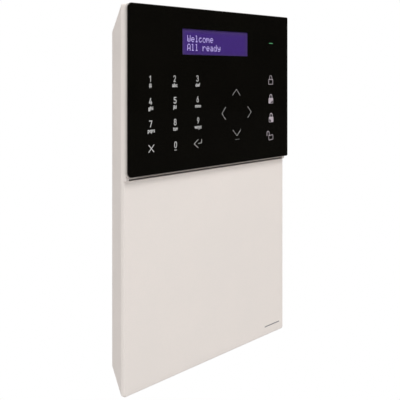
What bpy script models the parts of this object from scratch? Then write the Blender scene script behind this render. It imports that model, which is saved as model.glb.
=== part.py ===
"""Wall-mounted alarm keypad panel, with its hinged cover shut.

Sizes are in millimetres and become metres in the mesh (MM converts).
Origin: centre of the flat rear face that lies on the wall. +X is to the viewer's right,
+Y runs into the wall, +Z is up, so the front of the panel faces -Y.
"""

import math

import bmesh
import bpy
from mathutils import Matrix, Vector

for leftover in list(bpy.data.objects):
    bpy.data.objects.remove(leftover, do_unlink=True)

MM = 0.001
SMOOTH = 35  # degrees; sharper edges stay crisp on smooth-shaded pieces
SIDES = (-1, 1)  # left, right

# ---------------------------------------------------------------- driving dimensions
# Front cover: front rectangle, short square lip, then walls that taper in to the rear edge
FRONT_HALF_W = 77.0
FRONT_HALF_H = 117.1
FRONT_Y = -25.0
LIP_Y = -22.0
SHELF_BACK = -21.3  # rear face of the cover's front wall where it carries the keypad
REAR_Y = -0.4
REAR_HALF_W = 65.9
REAR_TOP = 102.55
REAR_BOTTOM = -108.4
WALL = 2.6
FRONT_ROUND = 1.0
FRONT_ROUND_STEPS = 4
CORNER_R = 1.5
PLATEAU_Y = -26.2  # raised rim around the keypad carrier
SPLIT_Z = 11.5  # bottom of the carrier recess

# Keypad carrier
CARRIER_HALF_W = 74.1
CARRIER_BACK = -24.2
LIP_BOTTOM = 12.4  # bottom of the carrier's lip, which shows below the glass
CARRIER_SCREWS = [(x, z) for z in (30.0, 96.0) for x in (-69.6, 69.6)]

# Touch glass
GLASS_HALF_W = 78.0
GLASS_BOTTOM = 13.5
GLASS_TOP = 117.76
GLASS_FRONT = -28.7
GLASS_BACK = -26.5
GLASS_CORNER = 1.8

# Key centres behind the glass, (x, z)
KEY_COLS = (-59.6, -39.3, -19.0)
KEY_ROWS = (70.5, 56.8, 43.0, 29.7)
ARROWS = [(19.4, 62.6), (6.2, 48.3), (33.0, 48.3), (19.8, 34.1)]
LOCKS = [(57.5, 70.6), (57.5, 56.5), (57.5, 42.6), (57.0, 29.6)]
LEGENDS = [(x, z) for z in KEY_ROWS for x in KEY_COLS] + ARROWS + LOCKS

# Keypad board and light guide share their sides and bottom
KEYPAD_HALF_W = 63.2
KEYPAD_BOTTOM = 20.2

# Display and status light
LCD_X = (-35.0, 34.0)
LCD_Z = (85.3, 106.2)
LCD_WINDOW_X = (-32.5, 31.5)
LCD_WINDOW_Z = (87.6, 104.2)
STATUS_X, STATUS_Z = 57.2, 98.0

# Cover hinge: moulded stubs on the rear plate's ears turn in sockets in the cover
HINGE = (-2.2, 101.5)  # y, z of the axis
EAR_X = 40.0
EAR_HALF = 4.0
EAR_GAP = 0.6
STUB_LENGTH = 2.9
STUB_R = 1.0
SOCKET_R = 1.3
KNUCKLE_R = 1.75

# Captive cover screw, which stands upright in the bottom wall
SCREW_AXIS = (0.0, -9.0)  # x, y

# Rear plate
PLATE_T = 2.5
PLATE_HALF_W = 62.4
PLATE_TOP = 97.9
PLATE_BOTTOM = -104.9
PLATE_THROUGH = (-4.0, 2.0)  # y range that passes right through the plate
RIM_INSET = 0.5
RIM_T = 1.6
KEYHOLES_X = (-20.0, 20.0)
GROMMET = (-20.0, -34.0)
TAMPER = (30.0, -34.0)

# Main board
BOARD_FRONT, BOARD_BACK = -8.1, -6.5
BOARD_BOX = (-57.0, 57.0, -26.0, 78.0)  # x0, x1, z0, z1
BOARD_SCREWS = [(-52.0, -21.0), (52.0, -15.0), (-52.0, 73.0), (52.0, 73.0)]
PARTS_Y = BOARD_FRONT - 0.3  # rear face of the parts and screw heads on the board

# Battery: AA cells side by side, standing upright
CELL_R = 7.25
CELLS = 5
BATTERY_X0 = -50.0
BATTERY_X1 = BATTERY_X0 + 2 * CELL_R * CELLS
BATTERY_Z = (-92.0, -42.0)
BATTERY_Y = -10.6
STRAP_Z = -67.0
STRAP_SCREWS = [(BATTERY_X0 - 6.0, STRAP_Z), (BATTERY_X1 + 6.0, STRAP_Z)]


# ---------------------------------------------------------------- materials
def material(name, colour, roughness, metallic=0.0):
    made = bpy.data.materials.get(name) or bpy.data.materials.new(name)
    made.use_nodes = True
    shader = made.node_tree.nodes["Principled BSDF"]
    shader.inputs["Base Color"].default_value = (*colour, 1.0)
    shader.inputs["Roughness"].default_value = roughness
    shader.inputs["Metallic"].default_value = metallic
    return made


WHITE = material("white_abs", colour=(0.76, 0.73, 0.71), roughness=0.5)
GREY = material("grey_abs", colour=(0.30, 0.30, 0.31), roughness=0.55)
DARK = material("dark_abs", colour=(0.06, 0.058, 0.056), roughness=0.6)
GLASS = material("black_glass", colour=(0.006, 0.005, 0.005), roughness=0.06)
PCB = material("green_board", colour=(0.02, 0.12, 0.05), roughness=0.4)
BLACK_PCB = material("black_board", colour=(0.015, 0.015, 0.016), roughness=0.4)
STEEL = material("steel", colour=(0.62, 0.62, 0.62), roughness=0.3, metallic=1.0)
TIN = material("tinned_steel", colour=(0.7, 0.7, 0.68), roughness=0.35, metallic=1.0)
PURPLE = material("lcd_panel", colour=(0.07, 0.03, 0.22), roughness=0.2)
LIGHT = material("light_plastic", colour=(0.85, 0.85, 0.82), roughness=0.35)
CHIP = material("chip_epoxy", colour=(0.02, 0.02, 0.02), roughness=0.55)
BLUE = material("battery_wrap", colour=(0.05, 0.22, 0.42), roughness=0.35)
GREEN_BLOCK = material("terminal_green", colour=(0.05, 0.35, 0.12), roughness=0.5)
RUBBER = material("black_rubber", colour=(0.025, 0.025, 0.025), roughness=0.8)
RED_WIRE = material("red_wire", colour=(0.5, 0.03, 0.02), roughness=0.45)
BLACK_WIRE = material("black_wire", colour=(0.02, 0.02, 0.02), roughness=0.45)
RELAY = material("relay_case", colour=(0.06, 0.16, 0.42), roughness=0.4)
SLEEVE = material("capacitor_sleeve", colour=(0.03, 0.03, 0.05), roughness=0.35)
COPPER = material("copper", colour=(0.72, 0.36, 0.2), roughness=0.3, metallic=1.0)
CABLE = material("ribbon", colour=(0.7, 0.7, 0.66), roughness=0.5)


# ---------------------------------------------------------------- outlines and paths
def rounded(x0, x1, z0, z1, radius, steps=3):
    """Rounded rectangle in XZ, counter-clockwise from the front, starting at the top right."""
    points = []
    for cx, cz, start in (
        (x1 - radius, z1 - radius, 0),
        (x0 + radius, z1 - radius, 90),
        (x0 + radius, z0 + radius, 180),
        (x1 - radius, z0 + radius, 270),
    ):
        for i in range(steps + 1):
            a = math.radians(start + 90 * i / steps)
            points.append((cx + radius * math.cos(a), cz + radius * math.sin(a)))
    return points


def helix(turns, steps_per_turn, radius):
    """Stations of a helix: (fraction of its length, radius * cos, radius * sin)."""
    count = turns * steps_per_turn
    angles = [2 * math.pi * i / steps_per_turn for i in range(count + 1)]
    return [(i / count, radius * math.cos(a), radius * math.sin(a)) for i, a in enumerate(angles)]


def around(x, z, half_w, half_h, y0, y1):
    """Bounds of a box centred on (x, z)."""
    return (x - half_w, x + half_w, y0, y1, z - half_h, z + half_h)


# ---------------------------------------------------------------- shapes
# A shape is a function that adds one or more closed solids to a bmesh.
def skin(bm, rings, closed=False):
    """Joins rings of 3D points; the ends are capped, or joined to each other if closed."""
    rings = [[bm.verts.new((x * MM, y * MM, z * MM)) for x, y, z in ring] for ring in rings]
    following = rings[1:] + rings[:1] if closed else rings[1:]
    count = len(rings[0])
    for near, far in zip(rings, following):
        for i in range(count):
            j = (i + 1) % count
            bm.faces.new((near[i], near[j], far[j], far[i]))
    if not closed:
        bm.faces.new(rings[0])
        bm.faces.new(rings[-1])
    bmesh.ops.recalc_face_normals(bm, faces=bm.faces[:])


def skinned(rings, closed=False):
    return lambda bm: skin(bm, rings, closed)


def loft(*sections):
    """Skin through XZ outlines of equal length, each given as (y, outline)."""
    return skinned([[(x, y, z) for x, z in outline] for y, outline in sections])


def prism(outline, *depths):
    """An XZ outline carried through each y in depths."""
    return loft(*[(y, outline) for y in depths])


def boxes(*bounds):
    """Boxes, each given as (x0, x1, y0, y1, z0, z1)."""

    def add(bm):
        for x0, x1, y0, y1, z0, z1 in bounds:
            for v in bmesh.ops.create_cube(bm, size=1.0)["verts"]:
                v.co = (
                    (x0 if v.co.x < 0 else x1) * MM,
                    (y0 if v.co.y < 0 else y1) * MM,
                    (z0 if v.co.z < 0 else z1) * MM,
                )

    return add


AXES = {
    "X": Matrix.Rotation(math.radians(90), 4, "Y"),
    "Y": Matrix.Rotation(math.radians(-90), 4, "X"),
    "Z": Matrix.Identity(4),
}


def cylinders(axis, centres, low, high, radius, segments=20):
    """Cylinders along X, Y or Z. Each centre holds the other two coordinates."""

    def add(bm):
        for centre in centres:
            place = list(centre)
            place.insert("XYZ".index(axis), (low + high) / 2)
            bmesh.ops.create_cone(
                bm,
                cap_ends=True,
                segments=segments,
                radius1=radius * MM,
                radius2=radius * MM,
                depth=(high - low) * MM,
                matrix=Matrix.Translation(Vector(place) * MM) @ AXES[axis],
            )

    return add


def tube(path, radius, sides):
    """A round tube swept along a list of points, with flat ends."""
    points = [Vector(p) for p in path]
    tangent = (points[1] - points[0]).normalized()
    side = tangent.orthogonal().normalized()
    rings = []
    for i, p in enumerate(points):
        ahead = points[min(i + 1, len(points) - 1)] - points[max(i - 1, 0)]
        new_tangent = ahead.normalized()
        side = (tangent.rotation_difference(new_tangent) @ side).normalized()
        side = (side - new_tangent * side.dot(new_tangent)).normalized()
        tangent = new_tangent
        other = tangent.cross(side)
        angles = [2 * math.pi * k / sides for k in range(sides)]
        rings.append(
            [p + side * (radius * math.cos(a)) + other * (radius * math.sin(a)) for a in angles]
        )
    return skinned(rings)


def revolved(profile, x, z, steps, closed=False):
    """Profile of (radius, y) points turned about the line along Y through (x, z)."""

    def add(bm):
        verts = [bm.verts.new(((x + r) * MM, y * MM, z * MM)) for r, y in profile]
        following = verts[1:] + verts[:1] if closed else verts[1:]
        edges = [bm.edges.new(pair) for pair in zip(verts, following)]
        bmesh.ops.spin(
            bm,
            geom=verts + edges,
            cent=(x * MM, 0, z * MM),
            axis=(0, 1, 0),
            angle=math.radians(360),
            steps=steps,
            use_merge=True,
            use_duplicate=False,
        )
        bmesh.ops.remove_doubles(bm, verts=bm.verts[:], dist=0.00001)
        bmesh.ops.recalc_face_normals(bm, faces=bm.faces[:])

    return add


# ---------------------------------------------------------------- objects
def solid(name, mat, *shapes, bevel=0.0, smooth=None, origin=(0, 0, 0)):
    """Object made of shapes. smooth is the sharp-edge angle; origin is in millimetres."""
    bm = bmesh.new()
    for add_shape in shapes:
        add_shape(bm)
    if bevel:
        bmesh.ops.bevel(
            bm, geom=bm.edges[:], offset=bevel * MM, segments=1, affect="EDGES", profile=0.5
        )
    shift = Vector(origin) * MM
    for v in bm.verts:
        v.co -= shift
    bm.normal_update()
    mesh = bpy.data.meshes.new(name)
    bm.to_mesh(mesh)
    bm.free()
    mesh.materials.append(mat)
    if smooth:
        mesh.shade_smooth()
        mesh.set_sharp_from_angle(angle=math.radians(smooth))
    made = bpy.data.objects.new(name, mesh)
    made.location = shift
    bpy.context.scene.collection.objects.link(made)
    return made


def combine(target, operation, shapes):
    """Boolean of target with one hidden helper made of shapes that don't touch one another."""
    helper = solid("cutter_" + target.name, WHITE, *shapes)
    helper.hide_render = True
    helper.display_type = "WIRE"
    step = target.modifiers.new("bool", "BOOLEAN")
    step.operation = operation
    step.solver = "EXACT"
    step.object = helper


def cut(target, *shapes):
    combine(target, "DIFFERENCE", shapes)


def join(target, *shapes):
    combine(target, "UNION", shapes)


def screw(name, x, z, seat_y, tip_y, head_r, head_t, shaft_r, sign=1):
    """Pan-head screw along Y. seat_y is under the head; the shaft points to +Y if sign is +1."""
    outer = seat_y - head_t * sign
    profile = [
        (0.0, outer),
        (head_r * 0.62, outer),
        (head_r * 0.93, seat_y - head_t * 0.62 * sign),
        (head_r, seat_y),
        (shaft_r, seat_y),
        (shaft_r, tip_y - shaft_r * 0.6 * sign),
        (0.0, tip_y),
    ]
    made = solid(name, STEEL, revolved(profile, x, z, steps=16), smooth=SMOOTH)
    arm, thin = head_r * 0.6, head_r * 0.16  # cross recess: half length and half width
    cross = [
        (arm, thin), (thin, thin), (thin, arm), (-thin, arm), (-thin, thin), (-arm, thin),
        (-arm, -thin), (-thin, -thin), (-thin, -arm), (thin, -arm), (thin, -thin), (arm, -thin),
    ]
    cross = [(x + a, z + c) for a, c in cross]
    cut(made, prism(cross, outer - 0.5 * sign, outer + head_t * 0.55 * sign))


def hang_loose_pieces(pivot_name, where):
    """Adds an empty at where and parents every piece that has no parent yet to it."""
    pivot = bpy.data.objects.new(pivot_name, None)
    pivot.location = Vector(where) * MM
    bpy.context.scene.collection.objects.link(pivot)
    bpy.context.view_layer.update()
    for obj in list(bpy.data.objects):
        if obj.type == "MESH" and not obj.hide_render and obj.parent is None:
            obj.parent = pivot
            obj.matrix_parent_inverse = pivot.matrix_world.inverted()


# ---------------------------------------------------------------- front cover
TAPER_DEPTH = REAR_Y - LIP_Y
SIDE_SLOPE = (FRONT_HALF_W - REAR_HALF_W) / TAPER_DEPTH
TOP_SLOPE = (FRONT_HALF_H - REAR_TOP) / TAPER_DEPTH
BOTTOM_SLOPE = (FRONT_HALF_H + REAR_BOTTOM) / TAPER_DEPTH
# Insets (side, top, bottom) that leave walls of thickness WALL, measured square to each slope
WALL_INSETS = [WALL * math.hypot(1, slope) for slope in (SIDE_SLOPE, TOP_SLOPE, BOTTOM_SLOPE)]


def cover_outline(y, insets=(0.0, 0.0, 0.0), radius=CORNER_R):
    """Outline of the cover at depth y, moved in by (side, top, bottom) insets."""
    side, top, bottom = insets
    depth = REAR_Y - y
    half = REAR_HALF_W + SIDE_SLOPE * depth
    return rounded(
        -half + side,
        half - side,
        REAR_BOTTOM - BOTTOM_SLOPE * depth + bottom,
        REAR_TOP + TOP_SLOPE * depth - top,
        radius,
    )


def build_front_cover():
    rim = []
    for i in range(FRONT_ROUND_STEPS + 1):
        a = math.radians(90 * i / FRONT_ROUND_STEPS)
        inset = FRONT_ROUND * (1 - math.sin(a))
        outline = cover_outline(LIP_Y, (inset,) * 3, CORNER_R + 0.3 * FRONT_ROUND)
        rim.append((FRONT_Y + FRONT_ROUND * (1 - math.cos(a)), outline))
    skin_shape = loft(*rim, (LIP_Y, cover_outline(LIP_Y)), (REAR_Y, cover_outline(REAR_Y)))
    cover = solid("front_cover", WHITE, skin_shape, origin=(0, *HINGE))

    # Plateau around the carrier: only its two top corners, the first 8 points, are round
    plateau = rounded(-FRONT_HALF_W, FRONT_HALF_W, SPLIT_Z, FRONT_HALF_H, CORNER_R)[:8]
    plateau += [(-FRONT_HALF_W, SPLIT_Z), (FRONT_HALF_W, SPLIT_Z)]
    join(cover, prism(plateau, PLATEAU_Y, LIP_Y + 0.2))

    # Main hollow, open to the rear
    rear_hollow = cover_outline(REAR_Y, WALL_INSETS, 1.0)
    shelf_hollow = cover_outline(SHELF_BACK, WALL_INSETS, 1.0)
    cut(cover, loft((SHELF_BACK, shelf_hollow), (REAR_Y, rear_hollow), (1.6, rear_hollow)))
    # Deeper hollow behind the blank lower front, carrier recess, opening through its floor
    cut(cover, boxes((-73.4, 73.4, FRONT_Y + WALL, SHELF_BACK + 0.5, -113.6, 9.0)))
    cut(cover, boxes((-74.4, 74.4, -30.0, -23.9, SPLIT_Z, 114.6)))
    cut(cover, boxes((-66.0, 66.0, -25.0, -20.0, 17.5, 110.0)))

    # Hinge knuckles, then the notches for the rear plate's ears, then the stub sockets
    notch_half = EAR_HALF + EAR_GAP
    for side in SIDES:
        for end in SIDES:
            face = side * EAR_X + end * notch_half
            low, high = sorted((face - end * 1.5, face + end * 3.4))
            join(cover, cylinders("X", [HINGE], low, high, KNUCKLE_R))
    cut(
        cover,
        boxes(
            *[
                (side * EAR_X - EAR_HALF - EAR_GAP, side * EAR_X + EAR_HALF + EAR_GAP)
                + (-6.5, 1.0, 96.0, 106.9)
                for side in SIDES
            ]
        ),
    )
    reach = notch_half + STUB_LENGTH
    for side in SIDES:
        x = side * EAR_X
        cut(cover, cylinders("X", [HINGE], x - reach, x + reach, SOCKET_R))

    # Boss for the captive screw in the bottom wall, its hole and its counterbore
    join(cover, cylinders("Z", [SCREW_AXIS], -111.0, -105.8, 4.6, 28))
    cut(cover, cylinders("Z", [SCREW_AXIS], -118.0, -104.0, 1.9))
    cut(cover, cylinders("Z", [SCREW_AXIS], -119.0, -107.7, 3.4, 24))

    # Sound slots in the bottom wall below the siren
    pitch, width = 4, 1.6
    slots = [38.0 + pitch * i for i in range(5)]
    cut(cover, boxes(*[(x, x + width, -18.0, -8.0, -119.0, -104.0) for x in slots]))

    # Holes in the shelf for the carrier screws
    cut(cover, cylinders("Y", CARRIER_SCREWS, -25.0, -20.0, 1.45, 16))

    # Stiffening ribs behind the blank lower front
    half_rib = 0.7
    ribs = [
        (x - half_rib, x + half_rib, FRONT_Y + 1.0, -20.9, -100.0, 2.0) for x in (-44.0, 44.0)
    ]
    join(cover, boxes(*ribs))


# ---------------------------------------------------------------- keypad stack
def build_carrier():
    lip = rounded(-CARRIER_HALF_W, CARRIER_HALF_W, LIP_BOTTOM, 114.3, 0.6)
    carrier = solid("keypad_carrier", DARK, prism(lip, PLATEAU_Y, CARRIER_BACK))
    # Thin foot below the lip, set back, so that a shadow gap runs above the white front
    foot = (-CARRIER_HALF_W, CARRIER_HALF_W, -25.0, CARRIER_BACK, SPLIT_Z + 0.3, 20.0)
    join(carrier, boxes(foot))
    # Tray that reaches back through the cover
    join(carrier, prism(rounded(-65.5, 65.5, 18.0, 109.5, 1.5), -24.6, -17.6))
    # Sensor board recess, tray hollow, opening in the tray floor, screw pilot holes
    cut(carrier, boxes((-67.5, 67.5, -27.0, -25.0, 15.8, 111.9)))
    cut(carrier, boxes((-63.7, 63.7, -25.5, -19.2, 19.8, 107.9)))
    cut(carrier, boxes((-40.0, 40.0, -20.0, -17.0, 35.0, 80.0)))
    cut(carrier, cylinders("Y", CARRIER_SCREWS, -25.8, -23.0, 1.4, 16))
    for i, (x, z) in enumerate(CARRIER_SCREWS, 1):
        screw(
            f"carrier_screw_{i}", x, z, seat_y=-21.0, tip_y=-25.4,
            head_r=2.0, head_t=1.4, shaft_r=1.1, sign=-1,
        )


def build_touch_glass():
    outline = rounded(
        -GLASS_HALF_W, GLASS_HALF_W, GLASS_BOTTOM, GLASS_TOP, GLASS_CORNER, steps=4
    )
    solid("touch_glass", GLASS, prism(outline, GLASS_FRONT, GLASS_BACK))


def build_sensor_board():
    outline = rounded(-67.2, 67.2, 16.1, 111.6, 1.0, steps=2)
    sensor = solid("touch_sensor_board", BLACK_PCB, prism(outline, -26.0, -25.3))
    through = (-27.0, -24.0)
    cut(
        sensor,
        boxes(
            (-36.7, 35.7, *through, 83.6, 107.9),  # the display module stands through the board
            around(STATUS_X, STATUS_Z, 3.4, 0.8, *through),
            *[around(x, z, 4.2, 4.0, *through) for x, z in LEGENDS],
        ),
    )


def build_light_guide():
    bounds = (-KEYPAD_HALF_W, KEYPAD_HALF_W, -25.0, -22.0, KEYPAD_BOTTOM, 82.5)
    guide = solid("icon_light_guide", LIGHT, boxes(bounds))
    cut(guide, boxes(*[around(x, z, 3.4, 4.2, -26.0, -21.0) for x, z in LEGENDS]))


def build_keypad_board():
    bounds = (-KEYPAD_HALF_W, KEYPAD_HALF_W, -20.9, -19.5, KEYPAD_BOTTOM, 107.5)
    solid("keypad_board", PCB, boxes(bounds))
    controller = boxes((-30.0, -21.0, -19.2, -18.1, 44.0, 53.0))
    solid("touch_controller", CHIP, controller, bevel=0.15)
    connector = boxes((-9.0, 9.0, -19.2, -16.8, 66.0, 71.0))
    solid("keypad_connector", LIGHT, connector, bevel=0.2)


def build_display():
    bezel = solid("lcd_bezel", TIN, boxes((-36.1, 35.1, -26.1, -21.2, 84.2, 107.3)), bevel=0.25)
    cut(bezel, boxes((-35.3, 34.3, -25.6, -20.0, 85.0, 106.5)))
    x0, x1 = LCD_WINDOW_X
    z0, z1 = LCD_WINDOW_Z
    margin = 0.6
    cut(bezel, boxes((x0 - margin, x1 + margin, -27.0, -25.0, z0 - margin, z1 + margin)))
    solid("lcd_glass", PURPLE, boxes((*LCD_X, -25.3, -24.1, *LCD_Z)))
    solid("lcd_backlight", LIGHT, boxes((*LCD_X, -23.8, -21.2, *LCD_Z)))
    pipe = around(STATUS_X, STATUS_Z, 3.0, 0.5, -25.6, -21.3)
    solid("status_light_pipe", LIGHT, boxes(pipe))


def build_cover_screw():
    """Captive screw with its slotted head at the bottom."""
    x, y = SCREW_AXIS
    head = cylinders("Z", [SCREW_AXIS], -114.0, -112.0, 2.9)
    made = solid("cover_screw", STEEL, head, smooth=SMOOTH, origin=(x, y, -106.0))
    join(made, cylinders("Z", [SCREW_AXIS], -113.0, -106.0, 1.5, 16))
    cut(made, boxes((-3.5, 3.5, y - 0.5, y + 0.5, -115.0, -113.0)))


# ---------------------------------------------------------------- rear plate
def plate_outline(inset, radius):
    return rounded(
        -PLATE_HALF_W + inset,
        PLATE_HALF_W - inset,
        PLATE_BOTTOM + inset,
        PLATE_TOP - inset,
        radius,
    )


def rim_frame():
    """Low wall standing forward around the edge of the plate."""
    front, back = -5.5, -1.5
    outer = plate_outline(RIM_INSET, 1.8)
    inner = plate_outline(RIM_INSET + RIM_T, 1.0)
    corners = ((outer, front), (outer, back), (inner, back), (inner, front))
    return skinned([[(x, y, z) for x, z in outline] for outline, y in corners], closed=True)


def build_rear_plate():
    plate = solid("rear_plate", WHITE, prism(plate_outline(0.0, 2.0), -PLATE_T, 0.0))
    join(plate, rim_frame())

    # Posts for the board, pads for the strap, and their screw holes
    join(
        plate,
        cylinders("Y", BOARD_SCREWS, -6.2, -1.5, 3.2),
        boxes(*[around(x, z, 3.6, 4.5, -5.0, -1.5) for x, z in STRAP_SCREWS]),
    )
    cut(plate, cylinders("Y", BOARD_SCREWS + STRAP_SCREWS, -8.0, -1.0, 1.3, 16))

    # Lug that the captive screw enters from below
    join(plate, boxes((-6.0, 6.0, -14.0, -1.5, PLATE_BOTTOM + RIM_INSET, -98.0)))
    cut(plate, cylinders("Z", [SCREW_AXIS], -110.0, -99.4, 1.8, 18))

    # Hinge ears and their stubs
    reach = EAR_HALF + STUB_LENGTH
    for side in SIDES:
        x = side * EAR_X
        join(plate, boxes((x - EAR_HALF, x + EAR_HALF, -3.6, -0.6, 96.0, HINGE[1] + 1.3)))
        join(plate, cylinders("X", [HINGE], x - reach, x + reach, STUB_R))

    # Keyholes for the upper wall screws: round openings, then the slots above them
    keyholes = [(x, 83.5) for x in KEYHOLES_X]
    cut(plate, cylinders("Y", keyholes, *PLATE_THROUGH, 4.2, 24))
    necks = [rounded(x - 2.2, x + 2.2, 84.0, 92.0, 2.15, steps=4) for x in KEYHOLES_X]
    cut(plate, *[prism(outline, *PLATE_THROUGH) for outline in necks])
    # Level slots for the lower wall screws
    slots = [rounded(x - 5.5, x + 5.5, -100.4, -96.0, 2.15, steps=4) for x in (-50.0, 50.0)]
    cut(plate, *[prism(outline, *PLATE_THROUGH) for outline in slots])
    # Cable entry and the hole for the tamper stem
    cut(plate, cylinders("Y", [GROMMET], *PLATE_THROUGH, 6.6, 28))
    cut(plate, cylinders("Y", [TAMPER], *PLATE_THROUGH, 2.2))


# ---------------------------------------------------------------- main board and its parts
# name, material, (x0, x1, z0, z1), height, bevel
PLAIN_PARTS = (
    ("main_connector", LIGHT, (-9.0, 9.0, 66.0, 71.0), 2.4, 0.2),
    ("processor", CHIP, (-8.0, 6.0, 24.0, 38.0), 1.4, 0.3),
    ("radio_shield", TIN, (-16.0, 8.0, 41.0, 55.0), 3.0, 0.4),
    ("cellular_module", TIN, (-50.0, -26.0, 34.0, 58.0), 2.8, 0.3),
    ("coin_cell_clip", TIN, (29.0, 51.0, 3.5, 26.0), 0.8, 0.1),
    ("relay", RELAY, (12.0, 22.0, -14.0, 6.0), 12.0, 0.4),
    ("power_inductor", CHIP, (-30.0, -19.0, -6.0, 5.0), 4.4, 1.2),
    ("battery_plug", LIGHT, (6.0, 12.0, -24.6, -17.6), 5.6, 0.3),
)
# name, z, radius, height
CAPACITORS = (
    ("capacitor_large", 3.0, 5.0, 11.5),
    ("capacitor_small", -9.0, 3.15, 8.5),
)


def board_part(name, mat, footprint, height, bevel):
    x0, x1, z0, z1 = footprint
    return solid(name, mat, boxes((x0, x1, PARTS_Y - height, PARTS_Y, z0, z1)), bevel=bevel)


def build_main_board():
    outline = rounded(*BOARD_BOX, 2.0)
    board = solid("main_board", PCB, prism(outline, BOARD_FRONT, BOARD_BACK))
    cut(board, cylinders("Y", BOARD_SCREWS, -10.0, -5.0, 1.4, 16))
    for i, (x, z) in enumerate(BOARD_SCREWS, 1):
        screw(
            f"board_screw_{i}", x, z, seat_y=PARTS_Y, tip_y=-2.2,
            head_r=2.4, head_t=1.7, shaft_r=1.0,
        )
    for part in PLAIN_PARTS:
        board_part(*part)


def build_sim():
    socket = board_part("sim_socket", TIN, (18.0, 38.0, 50.0, 72.0), 2.8, 0.2)
    cut(socket, boxes((19.6, 36.4, PARTS_Y - 2.2, PARTS_Y - 0.8, 51.2, 80.0)))
    card = rounded(20.5, 35.5, 52.0, 77.0, 1.2)
    solid("sim_card", WHITE, prism(card, PARTS_Y - 1.9, PARTS_Y - 1.1))


def build_coin_cell():
    cell = cylinders("Y", [(40.0, 15.0)], PARTS_Y - 4.3, PARTS_Y - 1.1, 10.0, 40)
    solid("coin_cell", STEEL, cell, smooth=SMOOTH)


def build_ethernet_jack():
    jack = board_part("ethernet_jack", TIN, (33.0, 48.6, -25.0, -4.0), 12.4, 0.3)
    cut(jack, boxes((34.6, 47.0, PARTS_Y - 10.6, PARTS_Y - 2.0, -26.0, -8.0)))


def build_terminal_block():
    """Row of poles, each with a wire opening below and a screw well in front."""
    poles, pitch, left = 8, 5.08, -46.0
    footprint = (left, left + poles * pitch, -25.0, -14.0)
    block = board_part("terminal_block", GREEN_BLOCK, footprint, 9.8, 0.3)
    starts = [left + pitch * i for i in range(poles)]
    openings = [
        (x + 1.0, x + 4.6, PARTS_Y - 4.6, PARTS_Y - 1.2, -26.0, -17.0) for x in starts
    ]
    cut(block, boxes(*openings))
    wells = [(x + 2.8, -19.0) for x in starts]
    cut(block, cylinders("Y", wells, PARTS_Y - 11.0, PARTS_Y - 6.4, 1.7, 12))


def build_capacitors():
    for name, z, radius, height in CAPACITORS:
        front = PARTS_Y - height
        can = cylinders("Y", [(0.0, z)], front, PARTS_Y, radius, 28)
        capacitor = solid(name, SLEEVE, can, smooth=SMOOTH)
        # Shallow round recess in the front end
        cut(capacitor, cylinders("Y", [(0.0, z)], front - 1, front + 0.4, radius * 0.78, 24))


def build_switches():
    centre = (47.0, 41.0)
    reset = board_part("reset_switch", TIN, (44.0, 50.0, 38.0, 44.0), 3.4, 0.2)
    cut(reset, cylinders("Y", [centre], PARTS_Y - 5.0, PARTS_Y - 0.7, 2.0))
    button = cylinders("Y", [centre], PARTS_Y - 4.6, PARTS_Y - 1.1, 1.65)
    solid("reset_button", DARK, button, smooth=SMOOTH)

    power = board_part("power_switch", TIN, (22.0, 32.0, -25.0, -20.4), 3.8, 0.2)
    cut(power, boxes((23.6, 30.4, PARTS_Y - 5.0, PARTS_Y - 1.4, -24.0, -21.4)))
    slider = boxes((24.2, 26.2, PARTS_Y - 5.4, PARTS_Y - 1.8, -23.6, -21.8))
    solid("power_slider", DARK, slider, bevel=0.15)


def build_antenna():
    """Helix lying along X in front of the board."""
    left, length, y, z = -40.0, 16.0, -12.2, 68.0
    stations = helix(turns=7, steps_per_turn=12, radius=2.6)
    path = [(left + length * along, y + sin, z + cos) for along, cos, sin in stations]
    solid("antenna_coil", COPPER, tube(path, radius=0.4, sides=6), smooth=SMOOTH)


# ---------------------------------------------------------------- battery, strap, leads
def cell_arc(cell, start, end, steps=8):
    """(x, y) points on one cell's circle, from start to end in degrees; +90 faces the wall."""
    centre_x = BATTERY_X0 + CELL_R * (2 * cell + 1)
    angles = [math.radians(start + (end - start) * k / steps) for k in range(steps + 1)]
    return [
        (centre_x + CELL_R * math.cos(a), BATTERY_Y + CELL_R * math.sin(a)) for a in angles
    ]


def build_battery():
    """Shrink-wrapped pack: the cells' outline, drawn in slightly at both ends."""
    waist, end = 22, 22.5  # where arcs stop between cells, and at the outer cells in front
    last = CELLS - 1
    outline = []
    for cell in range(CELLS):  # rear side, left to right
        outline += cell_arc(cell, 180 - waist if cell else 180, waist if cell < last else 0)
    for cell in reversed(range(CELLS)):  # front side, right to left
        start = -waist if cell < last else -end
        outline += cell_arc(cell, start, (waist if cell else end) - 180)

    middle = (BATTERY_X0 + BATTERY_X1) / 2
    half = CELL_R * CELLS
    edge = 0.9
    bottom, top = BATTERY_Z
    rings = []
    for z, shrink in ((bottom, edge), (bottom + edge, 0.0), (top - edge, 0.0), (top, edge)):
        scale_x = (half - shrink) / half
        scale_y = (CELL_R - shrink) / CELL_R
        rings.append(
            [
                (middle + (x - middle) * scale_x, BATTERY_Y + (y - BATTERY_Y) * scale_y, z)
                for x, y in outline
            ]
        )
    solid("battery_pack", BLUE, skinned(rings), smooth=50)


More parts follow.
